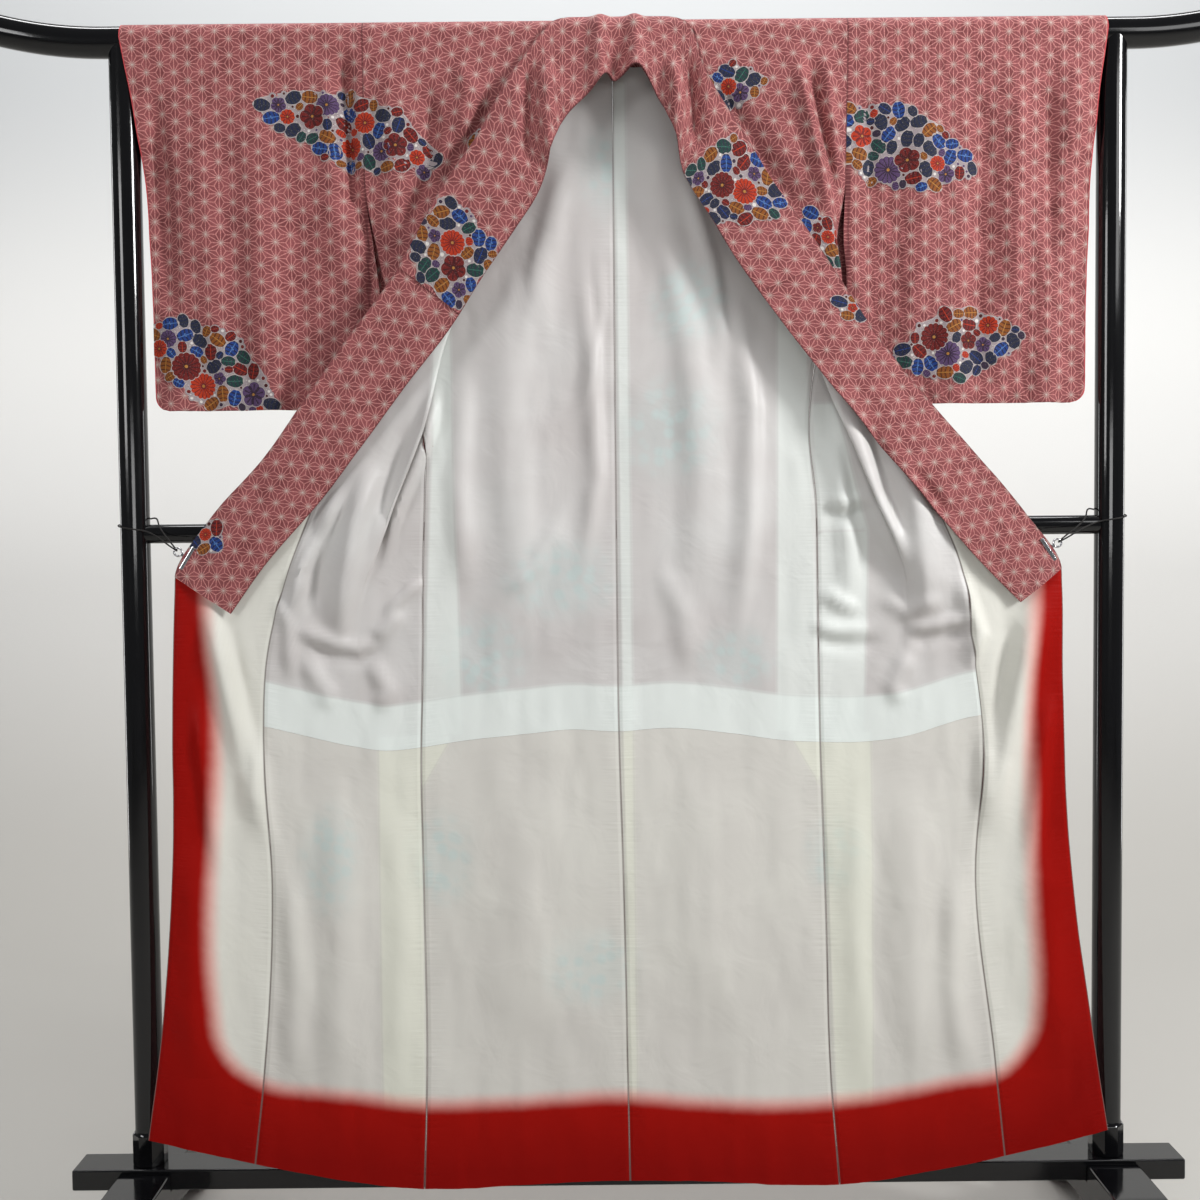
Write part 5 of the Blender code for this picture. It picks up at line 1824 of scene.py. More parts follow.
@dataclass
class OverlapPanels:
    """The two overlap panels (okumi) at the front edges, with their lining."""

    columns: int = 30
    flat: tuple[float, float] = (0.15, 1.36)
    area: float = 0.155

    def build(self, finishes: Finishes, marks: Marks) -> None:
        """Make both overlap panels and their linings.

        Args:
            finishes: The materials.
            marks: What shows on the lining.
        """
        levels = spread(HEM, OPEN_LINING_TOP)
        for side in Side:
            points = okumi_points(side, levels, np.linspace(0, 1, self.columns))
            uv = cloth_map(row_lengths(points), levels)
            sheet = Sheet(drape(points, FRONT_CREASES), uv, -side.value)
            name, body = "okumi_" + side.word, "body_" + side.word
            piece = outer_cloth(name, sheet, finishes.crepe)
            fields = marks.fields(sheet, False)
            fields["strip"] = np.full(fields["strip"].shape, NOWHERE)
            inner_silk("hakkake_" + name, sheet, finishes.overlap, fields)


@dataclass
class Sleeves:
    """The two sleeves: one length of cloth each, over the rail, closed along the bottom."""

    columns: int = 62
    inner: int = 44  # columns up to the cuff
    turns: int = 25  # rows of the half circle over the rail
    bottom_cell: float = 0.0021  # spacing of the rows up to bottom_top
    bottom_top: float = 1.22
    sway: float = 0.0065
    sway_fade: tuple[float, float] = (0.03, 0.4)  # where it starts below the rail, and over what drop
    phase: tuple[float, float] = (0.7, 2.1)  # of the waves, left and right
    held: tuple[float, float] = (0.357, 0.319)  # x up to which the armhole holds the cloth still
    back_reach: float = 0.0014  # how far the back layer lies from the armhole's line
    piping: float = 0.004
    repeat: tuple[float, float] = (0.008, 0.004)
    ripple: tuple[float, float] = (0.0011, 0.0019)
    creases: tuple[Crease, ...] = creases(
        ((-381, 1690, -377, 1600, -370, 1500), -150, 14, 0.8, True),
        ((-400, 1690, -404, 1550, -402, 1360), 60, 20),
        ((-362, 1560, -352, 1440, -346, 1300, -352, 1200), -110, 20, 1.0, True),
        ((-652, 1660, -640, 1480, -634, 1300), -90, 14),
        ((-500, 1660, -515, 1480, -505, 1240), 50, 35),
        ((-590, 1620, -585, 1450, -575, 1240), 45, 24),
        ((-450, 1500, -452, 1360, -440, 1220), -45, 22),
        ((345, 1660, 352, 1500, 350, 1250), -60, 14),
        ((420, 1640, 428, 1460, 420, 1240), 50, 26),
        ((505, 1660, 510, 1480, 500, 1220), -45, 18),
        ((556, 1680, 562, 1500, 560, 1260), 55, 16, 0.7),
        ((595, 1690, 602, 1550, 606, 1380), -60, 11),
        ((634, 1690, 640, 1550, 632, 1350), 60, 18),
    )

    def build(self, finishes: Finishes) -> dict[Side, Sheet]:
        """Make both sleeves.

        Args:
            finishes: The materials.

        Returns:
            Their middle surfaces.
        """
        sheets = {}
        for side in Side:
            sheet = sheets[side] = self.surface(side)
            u = sheet.uv[..., 0]
            cuff = np.clip(1 - (u.max(axis=1, keepdims=True) - u) / self.piping, 0, 1)
            crepe = finishes.crepe if side is Side.LEFT else finishes.puckered
            outer_cloth("sleeve_" + side.word, sheet, crepe, {"cuff": cuff}, sheet.uv + self.repeat)
        return sheets

    def swing(self, side: Side, x: Array, z: Array) -> Array:
        """How far both layers hang towards the viewer: waves that grow downwards, creases and small puckers.

        Args:
            side: Which sleeve.
            x: Places across.
            z: Places up.

        Returns:
            The way towards the viewer, none beside the armhole.
        """
        own = 0 if side is Side.LEFT else 1
        start, drop = self.sway_fade
        low = step((RAIL_HEIGHT - start - z) / drop)
        phase = self.phase[own]
        out = np.abs(x)
        free = step((out - self.held[own]) / 0.03 + step((ARMHOLE_END - z) / 0.08))
        wave = 0.55 * np.sin(out * 47 + phase + z * 2.0) + 0.45 * np.sin(out * 96 + 2 * phase - z * 3.0)
        crease = 1.6 * sum(crease.lift(x, z) for crease in self.creases)
        rough = unevenness(out, z, 0.017, 0.04, 8) + 0.5 * unevenness(out, z, 0.01, 0.019, 9)
        ripple = self.ripple[own] * rough
        return free * (self.sway * low * wave + (crease + ripple) * below_rail(z))

    def layer(self, side: Side, level: Array, facing: int, across: Array) -> Array:
        """One layer of a sleeve: apart at the rail and the cuff, shut along its sewn edges.

        Args:
            side: Which sleeve.
            level: One level for each row.
            facing: -1 for its front layer, 1 for its back layer.
            across: One part of the width for each column.

        Returns:
            rows x columns x 3.
        """
        start, end = (value[:, None] for value in self.ends(side, level, facing))
        body = drop_half(level)[:, None]
        shut = float(drop_half(SLEEVE_BOTTOM))
        cuff = shut + (body - shut) * step((level[:, None] - ARMHOLE_END) / CUFF_BLEND)
        depth = body + (cuff - body) * step((across - CUFF_START) / (1 - CUFF_START))
        x = side.value * (start + (end - start) * across)
        z = np.repeat(level[:, None], len(across), 1)
        return np.stack([x, facing * depth - self.swing(side, x, z), z], 2)

    def ends(self, side: Side, level: Array, facing: int) -> tuple[Array, Array]:
        """Inner and outer x of a sleeve, its lower corner rounded.

        Above the side seam the back layer reaches in to the body.

        Args:
            side: Which sleeve.
            level: Places up.
            facing: -1 for its front layer, 1 for its back layer.

        Returns:
            Both ends, outwards from the middle.
        """
        arm = front_at(side, "side", level)
        own, end = (column(SLEEVE, SLEEVE_ROWS, side.word + word, level) for word in ("_in", "_out"))
        if facing > 0:
            own = np.where(level > SIDE_SEAM_TOP + SEAM_END, arm + self.back_reach, own)
        start = np.where(level < ARMHOLE_END, own, arm) + SEAM_HALF
        low = np.clip(SLEEVE_BOTTOM + SLEEVE_CORNER - level, 0, SLEEVE_CORNER)
        return start, end - SLEEVE_CORNER + np.sqrt(SLEEVE_CORNER**2 - low**2)

    def surface(self, side: Side) -> Sheet:
        """A sleeve's surface: front layer, a half circle round the rail, and back layer.

        Args:
            side: Which sleeve.

        Returns:
            Its middle surface.
        """
        cuff = np.linspace(CUFF_START, 1, self.columns - self.inner + 1)
        across = np.concatenate([np.linspace(0, CUFF_START, self.inner), cuff[1:]])
        dense = spread(SLEEVE_BOTTOM, self.bottom_top, self.bottom_cell)
        up = np.concatenate([dense, spread(self.bottom_top, RAIL_HEIGHT)[1:]])
        front, back = (self.layer(side, level, facing, across) for level, facing in ((up, -1), (up[::-1], 1)))
        turn = np.radians(np.linspace(180, 0, self.turns)[1:-1])[:, None]
        start, end = (float(value) for value in self.ends(side, np.array(RAIL_HEIGHT), -1))
        x = side.value * (start + (end - start) * across[None, :]) * np.ones_like(turn)
        points = np.concatenate([front, over_rail(x, turn), back])
        along = np.concatenate([
            up - RAIL_HEIGHT, (math.pi - turn[:, 0]) * SHOULDER, math.pi * SHOULDER + RAIL_HEIGHT - up[::-1],
        ])
        return Sheet(points, cloth_map(np.abs(points[..., 0] - side.value * start), along), side.value)


@dataclass
class Collar:
    """The wide collar, opened out from one front edge round the neck to the other, and its second layer."""

    columns: int = 34
    neck_rows: int = 91
    pinch: float = 0.02
    step_out: float = 0.07  # height over which it clears the linings
    calm_rows: int = 12
    calm_times: int = 6

    def build(self, finishes: Finishes) -> tuple[Sheet, Sheet]:
        """Make the collar and the over-collar.

        Args:
            finishes: The materials.

        Returns:
            Their middle surfaces.
        """
        sheet, neck = self.surface()
        outer_cloth("collar", sheet, finishes.crepe)
        over = Sheet(sheet.points[neck], sheet.uv[neck], 1).moved(LAYER)
        outer_cloth("over_collar", over, finishes.crepe)
        return sheet, over

    def slope_part(self, side: Side, levels: Array, across: Array) -> Array:
        """Rows across the collar beside the front: ruled from the seam to the free edge, with a slight belly.

        Args:
            side: Which half.
            levels: The seam's level in each row.
            across: One part of the width for each column.

        Returns:
            rows x columns x 3.
        """
        body = front_points(side, levels, (1, 1, 1, 1))[:, -1]
        okumi = okumi_points(side, levels, np.array([1.0]))[:, 0]
        seam = np.where((levels > OPEN_LINING_TOP)[:, None], body, okumi)
        seam[:, 1] -= LAYER + (LINING + GAP) * (1 - step((levels - OPEN_LINING_TOP) / self.step_out))
        names = (side.word, "depth", side.word + "_z")
        x, y, z = (column(FREE, FREE_COLUMNS, name, levels, "seam") for name in names)
        free = np.stack([side.value * x, y, z], 1)
        a = across[None, :, None]
        line = seam[:, None] + (free - seam)[:, None] * a
        line[..., 1] -= COLLAR_BELLY * np.sin(math.pi * a[..., 0])
        return line

    def neck_part(self, across: Array) -> Array:
        """Rows across the collar round the neck: over the rail's circle and on to the free edge.

        The seam runs by its angle round the rail; a row goes round the circle and then straight to
        the free edge, by length. Two ridges stand off the rail beside the pinched middle.

        Args:
            across: One part of the width for each column.

        Returns:
            rows x columns x 3.
        """
        left, right = (
            [(side.value * row[1], row[0], side.value * row[at], row[-1], row[at + 1]) for row in NECK]
            for side in Side for at in (NECK_COLUMNS.index(side.word),)
        )
        knots = np.array([*left, (VALLEY_X, NECK_BACK, VALLEY_X, -COLLAR_RADIUS, VALLEY_Z), *right[::-1]])
        keys = running(np.stack([knots[:, 0], self.pinch * np.radians(knots[:, 1])], 1))
        path = smooth(keys, knots, np.linspace(0, keys[-1], self.neck_rows))
        seam_x, angle, free_x, free_y, free_z = path.T[..., None]
        turn = np.radians(angle)
        round_length = COLLAR_RADIUS * (math.pi - turn)
        straight = np.hypot(free_y + COLLAR_RADIUS, free_z - RAIL_HEIGHT)
        run = across[None, :] * (round_length + straight)
        here = turn + np.minimum(run, round_length) / COLLAR_RADIUS
        past = np.clip((run - round_length) / straight, 0, 1)
        y = COLLAR_RADIUS * np.cos(here) + (free_y + COLLAR_RADIUS) * past
        z = RAIL_HEIGHT + COLLAR_RADIUS * np.sin(here) + (free_z - RAIL_HEIGHT) * past
        x = seam_x + (free_x - seam_x) * across[None, :]
        ridge = sum(step(1 - np.abs(x - place) / RIDGE_HALF) for place in RIDGES_X)
        out = unit(np.stack([y, np.maximum(z - RAIL_HEIGHT, 0.0)], 2))
        lift = (RIDGE * ridge * np.minimum(1.0, across * 3))[..., None]
        return np.concatenate([x[..., None], np.stack([y, z], 2) + out * lift], 2)

    def surface(self) -> tuple[Sheet, slice]:
        """The whole collar, row by row from its left end to its right end.

        Returns:
            Its middle surface and the rows of the over-collar.
        """
        across = np.linspace(0, 1, self.columns)
        levels = spread(COLLAR_END, BACK_LINING_TOP)
        left, right = (self.slope_part(side, levels, across) for side in Side)
        grid = np.concatenate([left, self.neck_part(across), right[::-1]])
        near = slice(len(levels) - self.calm_rows, len(grid) - len(levels) + self.calm_rows)
        for _ in range(self.calm_times):
            calm = (grid[:-2] + 2 * grid[1:-1] + grid[2:]) / 4
            grid[near] = calm[near.start - 1:near.stop - 1]
        grid = drape(grid, FRONT_CREASES)
        along = running(grid[:, len(across) // 2])
        first = int(np.searchsorted(levels, OVER_COLLAR_END))
        return Sheet(grid, cloth_map(across * COLLAR_WIDTH, along), 1), slice(first, len(grid) - first)


# Flowers


class Dye(Enum):
    """The dyer's colours."""

    VERMILION = "#B8330F"
    RED = "#701816"
    WINE = "#460F13"
    PURPLE = "#59416A"
    PLUM = "#36243B"
    NAVY = "#161F44"
    BLUE = "#163C84"
    SKY = "#527CB8"
    TEAL = "#163F3A"
    SEA = "#32665B"
    SLATE = "#282C3B"
    OCHRE = "#8F5018"
    BROWN = "#5E2F11"
    GOLD = "#B47E38"
    WHITE = "#E8E2DE"
    PALE = "#C0B5B2"
    CLOUD = "#A99DA0"


DEEPER: dict[Dye, Dye] = {
    Dye.VERMILION: Dye.RED, Dye.RED: Dye.WINE, Dye.PURPLE: Dye.PLUM, Dye.BLUE: Dye.NAVY, Dye.OCHRE: Dye.BROWN,
    Dye.TEAL: Dye.SLATE, Dye.NAVY: Dye.SLATE, Dye.SLATE: Dye.NAVY, Dye.WINE: Dye.PLUM, Dye.PLUM: Dye.SLATE,
}
LIGHTER: dict[Dye, Dye] = {
    Dye.BLUE: Dye.SKY, Dye.TEAL: Dye.SEA, Dye.OCHRE: Dye.GOLD, Dye.NAVY: Dye.BLUE, Dye.RED: Dye.VERMILION,
}


@dataclass(frozen=True)
class Bunch:
    """A bunch of dyed flowers on a cloud-shaped ground.

    Attributes:
        place: (x, z) of its middle, seen from the front.
        half: Half its length and half its width.
        lean: Its turn as seen from the front, in degrees.
        seed: For its own arrangement.
        blooms: Its large blossoms: across and up from the middle and radius in millimetres, petals, dye.
    """

    place: tuple[float, float]
    half: tuple[float, float]
    lean: float
    seed: int
    blooms: tuple[tuple[float, float, float, int, Dye], ...]


class Motifs:
    """Flat flower shapes, gathered with a colour for each face."""

    def __init__(self) -> None:
        """Start with no shapes."""
        self.points: list[Array] = []
        self.faces: list[list[int]] = []
        self.colours: list[tuple[float, float, float]] = []
        self.lifts: list[Array] = []
        self.count = 0

    def keep(self, points: Array, rows: int, ring: bool, colours: list[Any], lift: float) -> None:
        """Keep a shape.

        Args:
            points: Its grid of points, row after row.
            rows: How many rows.
            ring: Whether each row closes on itself.
            colours: One for each of the grid's faces.
            lift: How far it lies over the cloth.
        """
        quads = grid_faces(rows, len(points) // rows, ring)[:, [0, 3, 2, 1]]
        self.faces += (quads + self.count).tolist()
        self.colours += colours
        self.points.append(points)
        self.lifts.append(np.full(len(points), lift))
        self.count += len(points)

    def polar(self, middle: Array, radii: Array, rings: Sequence[float], codes: Sequence[str],
              lift: float) -> None:
        """A shape whose edge is at radii for even angles, with rings at parts of it.

        Args:
            middle: Its middle in the cloth.
            radii: Its edge, one radius for each direction.
            rings: Parts of the radius, from the inmost ring to 1.
            codes: Colour of the disc inside the first ring, then of each ring outwards.
            lift: How far it lies over the cloth, so that shapes overlap in order.
        """
        sides = len(radii)
        turn = np.linspace(0, 2 * math.pi, sides, endpoint=False)
        edge = np.stack([np.cos(turn), np.sin(turn)], 1) * radii[:, None]
        self.faces.append(list(range(self.count, self.count + sides)))
        self.colours.append(linear(codes[0]))
        colours = [colour for colour in map(linear, codes[1:]) for _ in range(sides)]
        points = middle + (np.array(rings)[:, None, None] * edge).reshape(-1, 2)
        self.keep(points, len(rings), True, colours, lift)

    def blossom(self, middle: Array, radius: float, turn: float, petals: int, dye: Dye, lift: float) -> None:
        """A blossom: its edge is a root of the cosine of the angle, with dark lines between its petals.

        Args:
            middle: Its middle in the cloth.
            radius: To its petals' tips.
            turn: Angle of its first petal.
            petals: How many; few are broad, many are narrow.
            dye: The petals' colour.
            lift: How far it lies over the cloth.
        """
        broad = petals < 7
        sides = petals * (14 if broad else 8)
        angle = np.linspace(0, 2 * math.pi, sides, endpoint=False)
        notch = 0.24 if broad else 0.12
        edge = radius * (1 - notch + notch * np.abs(np.cos(petals / 2 * (angle - turn))) ** 0.6)
        deep = DEEPER[dye].value
        first = len(self.colours) + 1
        codes = [Dye.GOLD.value, deep, *[dye.value] * 4, Dye.PALE.value]
        self.polar(middle, edge, (0.11, 0.24, 0.42, 0.62, 0.8, 0.95, 1.0), codes, lift)
        phase = ((angle + math.pi / sides - turn) * petals / (2 * math.pi)) % 1
        between = np.abs(phase - 0.5)
        vein = (np.minimum(phase, 1 - phase) < 0.08) & broad
        for ring, part in ((1, 0.3), (2, 0.18), (3, 0.13), (4, 0.09)):
            for k in np.nonzero((between < part) | (vein & (ring < 4)))[0]:
                self.colours[first + ring * sides + int(k)] = linear(deep)

    def leaf(self, middle: Array, length: float, fat: float, turn: float, dye: Dye, lift: float) -> None:
        """A leaf with a light midrib, dark veins and a pale outline.

        Its half width is the sine of the way along, to the power 0.62.

        Args:
            middle: Its middle in the cloth.
            length: From tip to tip.
            fat: Half its width as a part of its length.
            turn: The angle that it points to.
            dye: Its colour.
            lift: How far it lies over the cloth.
        """
        along = np.linspace(0, 1, 15)
        half = fat * length * np.sin(math.pi * np.clip(along, 0.01, 0.99)) ** 0.62
        parts = np.array([-1.0, -0.89, -0.45, -0.06, 0.06, 0.45, 0.89, 1.0])
        x, y = np.broadcast_arrays((along[:, None] - 0.5) * length, parts[None, :] * half[:, None])
        x = x + 0.1 * length * (np.abs(parts) - 0.5) * (1 - np.abs(2 * along[:, None] - 1))
        cos, sin = direction(turn)
        points = middle + np.stack([x * cos - y * sin, x * sin + y * cos], 2).reshape(-1, 2)
        pale, deep, plain, rib = (
            linear(colour.value) for colour in (Dye.PALE, DEEPER[dye], dye, LIGHTER.get(dye, dye))
        )
        colours = []
        for k in range(len(along) - 1):
            blade = deep if k % 3 == 1 else plain
            tip = k in (0, len(along) - 2)
            colours += [pale] * 7 if tip else [pale, blade, blade, rib, blade, blade, pale]
        self.keep(points, len(along), False, colours, lift)

    def round(self, middle: Array, radius: float, code: str, lift: float, rim: bool = True) -> None:
        """A round spot, with a pale rim if wanted."""
        rings, codes = ((0.78, 1.0), [code, Dye.PALE.value]) if rim else ((1.0,), [code])
        self.polar(middle, np.full(10, radius), rings, codes, lift)

    def lay(self, name: str, sheet: Sheet, material: bpy.types.Material) -> bpy.types.Object:
        """Lay the shapes on a sheet: across and along are read back as places on its grid.

        A point's row comes from its along, and its column from its across in that row; between
        grid points the surface is bilinear. Faces that are wholly past an edge are dropped.

        Args:
            name: The piece's name.
            sheet: The cloth that carries them.
            material: The printed crepe.

        Returns:
            The print's object.
        """
        points, lifts = np.concatenate(self.points), np.concatenate(self.lifts)
        rows, cols = sheet.points.shape[:2]
        row = np.clip(np.interp(points[:, 1], sheet.uv[:, 0, 1], np.arange(rows)), 0, rows - 1.001)
        i, fr = row.astype(int), (row % 1)[:, None]
        u = sheet.uv[i, :, 0] * (1 - fr) + sheet.uv[i + 1, :, 0] * fr
        j = np.clip((u <= points[:, :1]).sum(axis=1) - 1, 0, cols - 2)
        pick = np.arange(len(points))
        fc = (points[:, 0] - u[pick, j]) / (u[pick, j + 1] - u[pick, j])
        outside = (fc < -1e-6) | (fc > 1 + 1e-6)
        fc = np.clip(fc, 0, 1)[:, None]
        surface = sheet.points + sheet.normals() * HALF
        normal = sheet.normals()
        world, out = (
            (grid[i, j] * (1 - fc) + grid[i, j + 1] * fc) * (1 - fr)
            + (grid[i + 1, j] * (1 - fc) + grid[i + 1, j + 1] * fc) * fr
            for grid in (surface, normal)
        )
        world = world + out * lifts[:, None]
        keep = [not outside[face].all() for face in self.faces]
        faces = [face if sheet.sign > 0 else face[::-1] for face, kept in zip(self.faces, keep) if kept]
        colours = np.array(self.colours)[keep]
        return add_mesh(name, world, faces, material, points, None, colours)


class Arrangement:
    """One bunch being arranged on its cloud; rounds keep apart what is placed, as seen from the front."""

    power: float = 1.35  # of the cloud's outline: 1 is a lozenge, 2 an ellipse
    sides: int = 108  # points of the cloud's outline
    cell: float = 0.0035  # width of its rings
    rim: float = 0.98  # where its pale rim starts
    lobes: tuple[int, int] = (9, 5)  # two waves of its outline
    within: float = 0.3  # part of a round's radius that has to lie on the cloud
    gap: float = 0.0004  # between a shape and what it lies beside
    snug: float = 0.86  # a leaf's rounds as a part of its half width
    full: float = 1.1  # how much larger a leaf is drawn than the room kept for it
    halo: float = 0.0018  # width of the silver ground round a shape
    ring: float = 0.004  # greatest width of the silver ground's rings
    leaf_sizes: tuple[tuple[float, float, int], ...] = (
        # length, half width as a part of it, how many tries
        (0.024, 0.38, 500), (0.02, 0.38, 700), (0.0165, 0.4, 900), (0.012, 0.42, 1200),
    )
    leaf_dyes: tuple[Dye, ...] = (
        Dye.BLUE, Dye.TEAL, Dye.NAVY, Dye.OCHRE, Dye.BLUE, Dye.SLATE, Dye.RED, Dye.OCHRE, Dye.SLATE,
    )
    small_dyes: tuple[Dye, ...] = (Dye.RED, Dye.PURPLE, Dye.RED, Dye.OCHRE, Dye.VERMILION, Dye.PLUM, Dye.NAVY)
    berry_sizes: tuple[tuple[float, int, tuple[Dye, ...]], ...] = (
        (0.0034, 700, (Dye.WINE, Dye.RED, Dye.WHITE, Dye.PLUM)),
        (0.0023, 900, (Dye.WHITE, Dye.WINE, Dye.PURPLE, Dye.WHITE)),
    )
    dots: float = 9000.0  # tries for each metre of the bunch's half length
    # How far the shapes lie over the cloth, and what each next one adds
    ground_lift: float = 0.00035
    halo_lift: tuple[float, float] = (0.00038, 1e-6)
    leaf_lift: tuple[float, float] = (0.0006, 2e-6)
    bloom_lift: tuple[float, float] = (0.0011, -2e-5)
    berry_lift: float = 0.0008
    fleck_lift: float = 0.0012

    def __init__(self, motifs: Motifs, bunch: Bunch, middle: Array, turned: Array) -> None:
        """Draw the ground: a pointed cloud with soft lobes.

        Args:
            motifs: Takes the shapes.
            bunch: Its size, turn and seed.
            middle: Its middle in the cloth.
            turned: 2 x 2, from offsets seen from the front to offsets in the cloth, for rows.
        """
        self.motifs, self.bunch, self.middle = motifs, bunch, middle
        self.rng = np.random.default_rng(bunch.seed)
        ahead = direction(math.radians(bunch.lean))
        self.own = np.array([ahead, ahead[::-1] * (-1, 1)])
        self.axes = self.own @ turned
        self.spots, self.sizes = [np.full(2, FAR)], [0.0]
        long, wide = bunch.half
        self.angle = angle = np.linspace(0, 2 * math.pi, self.sides, endpoint=False)
        nine, five = (np.cos(lobes * angle + self.rng.uniform(0, 6)) for lobes in self.lobes)
        ring, power = np.stack([np.cos(angle), np.sin(angle)], 1), self.power
        pointed = (np.abs(ring[:, 0] / long) ** power + np.abs(ring[:, 1] / wide) ** power) ** (1 / power)
        self.edge = (1 + 0.05 * nine + 0.05 * five) / pointed
        local = ring * self.edge[:, None] @ self.axes
        heading = np.arctan2(local[:, 1], local[:, 0]) % (2 * math.pi)
        order = np.argsort(heading)
        rolled = np.interp(angle, heading[order], np.hypot(*local.T)[order], period=2 * math.pi)
        rings = (*np.linspace(0, 1, max(4, int(long / self.cell)) + 1)[1:-1], self.rim, 1.0)
        codes = [Dye.CLOUD.value] * (len(rings) - 1) + [Dye.PALE.value]
        motifs.polar(middle, rolled, rings, codes, self.ground_lift)

    def fill(self) -> None:
        """Place blossoms, then leaves, then berries and dots."""
        self.blooms()
        self.leaves()
        self.berries()

    def place(self, spot: Array) -> Array:
        """A spot of the bunch in the cloth."""
        return self.middle + spot @ self.axes

    def anywhere(self) -> Array:
        """A random spot in the box round the cloud."""
        return self.rng.uniform(-1, 1, 2) * self.bunch.half

    def free(self, rounds: Array, size: float, close: float) -> bool:
        """Whether rounds lie inside the cloud and clear of all that is placed.

        Args:
            rounds: n x 2, their middles.
            size: Their radius.
            close: How near they may come.

        Returns:
            Whether there is room.
        """
        reach = np.interp(np.arctan2(rounds[:, 1], rounds[:, 0]), self.angle, self.edge, period=2 * math.pi)
        if (np.hypot(*rounds.T) + size * self.within > reach).any():
            return False
        far = np.linalg.norm(rounds[:, None] - np.array(self.spots)[None], axis=2)
        return bool((far > size + np.array(self.sizes)[None] + close).all())

    def take(self, rounds: Array, size: float) -> None:
        """Keep rounds as placed, with a silver ground round them.

        Args:
            rounds: n x 2, their middles.
            size: Their radius.
        """
        for spot in rounds:
            self.spots.append(spot)
            self.sizes.append(size)
            halo = size + self.halo
            parts = np.linspace(0, 1, max(2, math.ceil(halo / self.ring)) + 1)[1:]
            lift = self.halo_lift[0] + self.halo_lift[1] * len(self.spots)
            codes = [Dye.CLOUD.value] * len(parts)
            self.motifs.polar(self.place(spot), np.full(12, halo), parts, codes, lift)

    def blooms(self) -> None:
        """Place the large blossoms."""
        for n, (across, up, radius, petals, dye) in enumerate(self.bunch.blooms):
            spot = np.array([across, up]) * 0.001 @ self.own.T
            self.take(spot[None], radius * 0.001)
            turn = self.rng.uniform(0, 6.3)
            lift = self.bloom_lift[0] + self.bloom_lift[1] * n
            self.motifs.blossom(self.place(spot), radius * 0.0011, turn, petals, dye, lift)

    def leaves(self) -> None:
        """Pack leaves, large ones first, beside what is placed: pointing at it or lying along it."""
        hue = 0
        for length, fat, tries in self.leaf_sizes:
            half = fat * length
            dyes = self.leaf_dyes if length > 0.013 else self.small_dyes
            for _ in range(tries):
                near = int(self.rng.integers(1, len(self.spots)))
                ahead = self.rng.uniform(0, 2 * math.pi)
                radial = bool(self.rng.integers(2))
                away = self.sizes[near] + self.gap + (length / 2 if radial else half)
                spot = self.spots[near] + away * direction(ahead)
                turn = ahead + (0.0 if radial else math.pi / 2) + self.rng.uniform(-0.25, 0.25)
                reach = (length / 2 - half) * direction(turn)
                rounds = np.stack([spot - reach, spot, spot + reach])
                if self.free(rounds, half * self.snug, 0.0):
                    self.take(rounds, half * self.snug)
                    hue += int(self.rng.integers(1, 4))
                    self.leaf(spot, length, fat, turn, dyes[hue % len(dyes)])

    def leaf(self, spot: Array, length: float, fat: float, turn: float, dye: Dye) -> None:
        """Draw a leaf, a blue one with two light flecks.

        Args:
            spot: Its middle in the bunch.
            length: The length that it was given room for.
            fat: Half its width as a part of its length.
            turn: The angle that it points to in the bunch.
            dye: Its colour.
        """
        place, (x, y) = self.place(spot), direction(turn) @ self.axes
        lift = self.leaf_lift[0] + self.leaf_lift[1] * len(self.spots)
        self.motifs.leaf(place, length * self.full, fat, math.atan2(y, x), dye, lift)
        if dye is Dye.BLUE:
            self.motifs.round(place + (0.0006, 0.0016), 0.0012, Dye.SKY.value, self.fleck_lift, False)
            self.motifs.round(place - (0.0012, 0.0012), 0.001, Dye.SKY.value, self.fleck_lift, False)

    def berries(self) -> None:
        """Place berries where there is room, then white dots."""
        for size, tries, dyes in self.berry_sizes:
            for _ in range(tries):
                spot = self.anywhere()
                if self.free(spot[None], size, self.gap):
                    self.take(spot[None], size)
                    code = dyes[int(self.rng.integers(4))].value
                    self.motifs.round(self.place(spot), size, code, self.berry_lift)
        for _ in range(int(self.dots * self.bunch.half[0])):
            spot = self.anywhere()
            if self.free(spot[None], 0.0004, 0.0):
                self.motifs.round(self.place(spot), 0.0005, Dye.WHITE.value, self.leaf_lift[0], False)


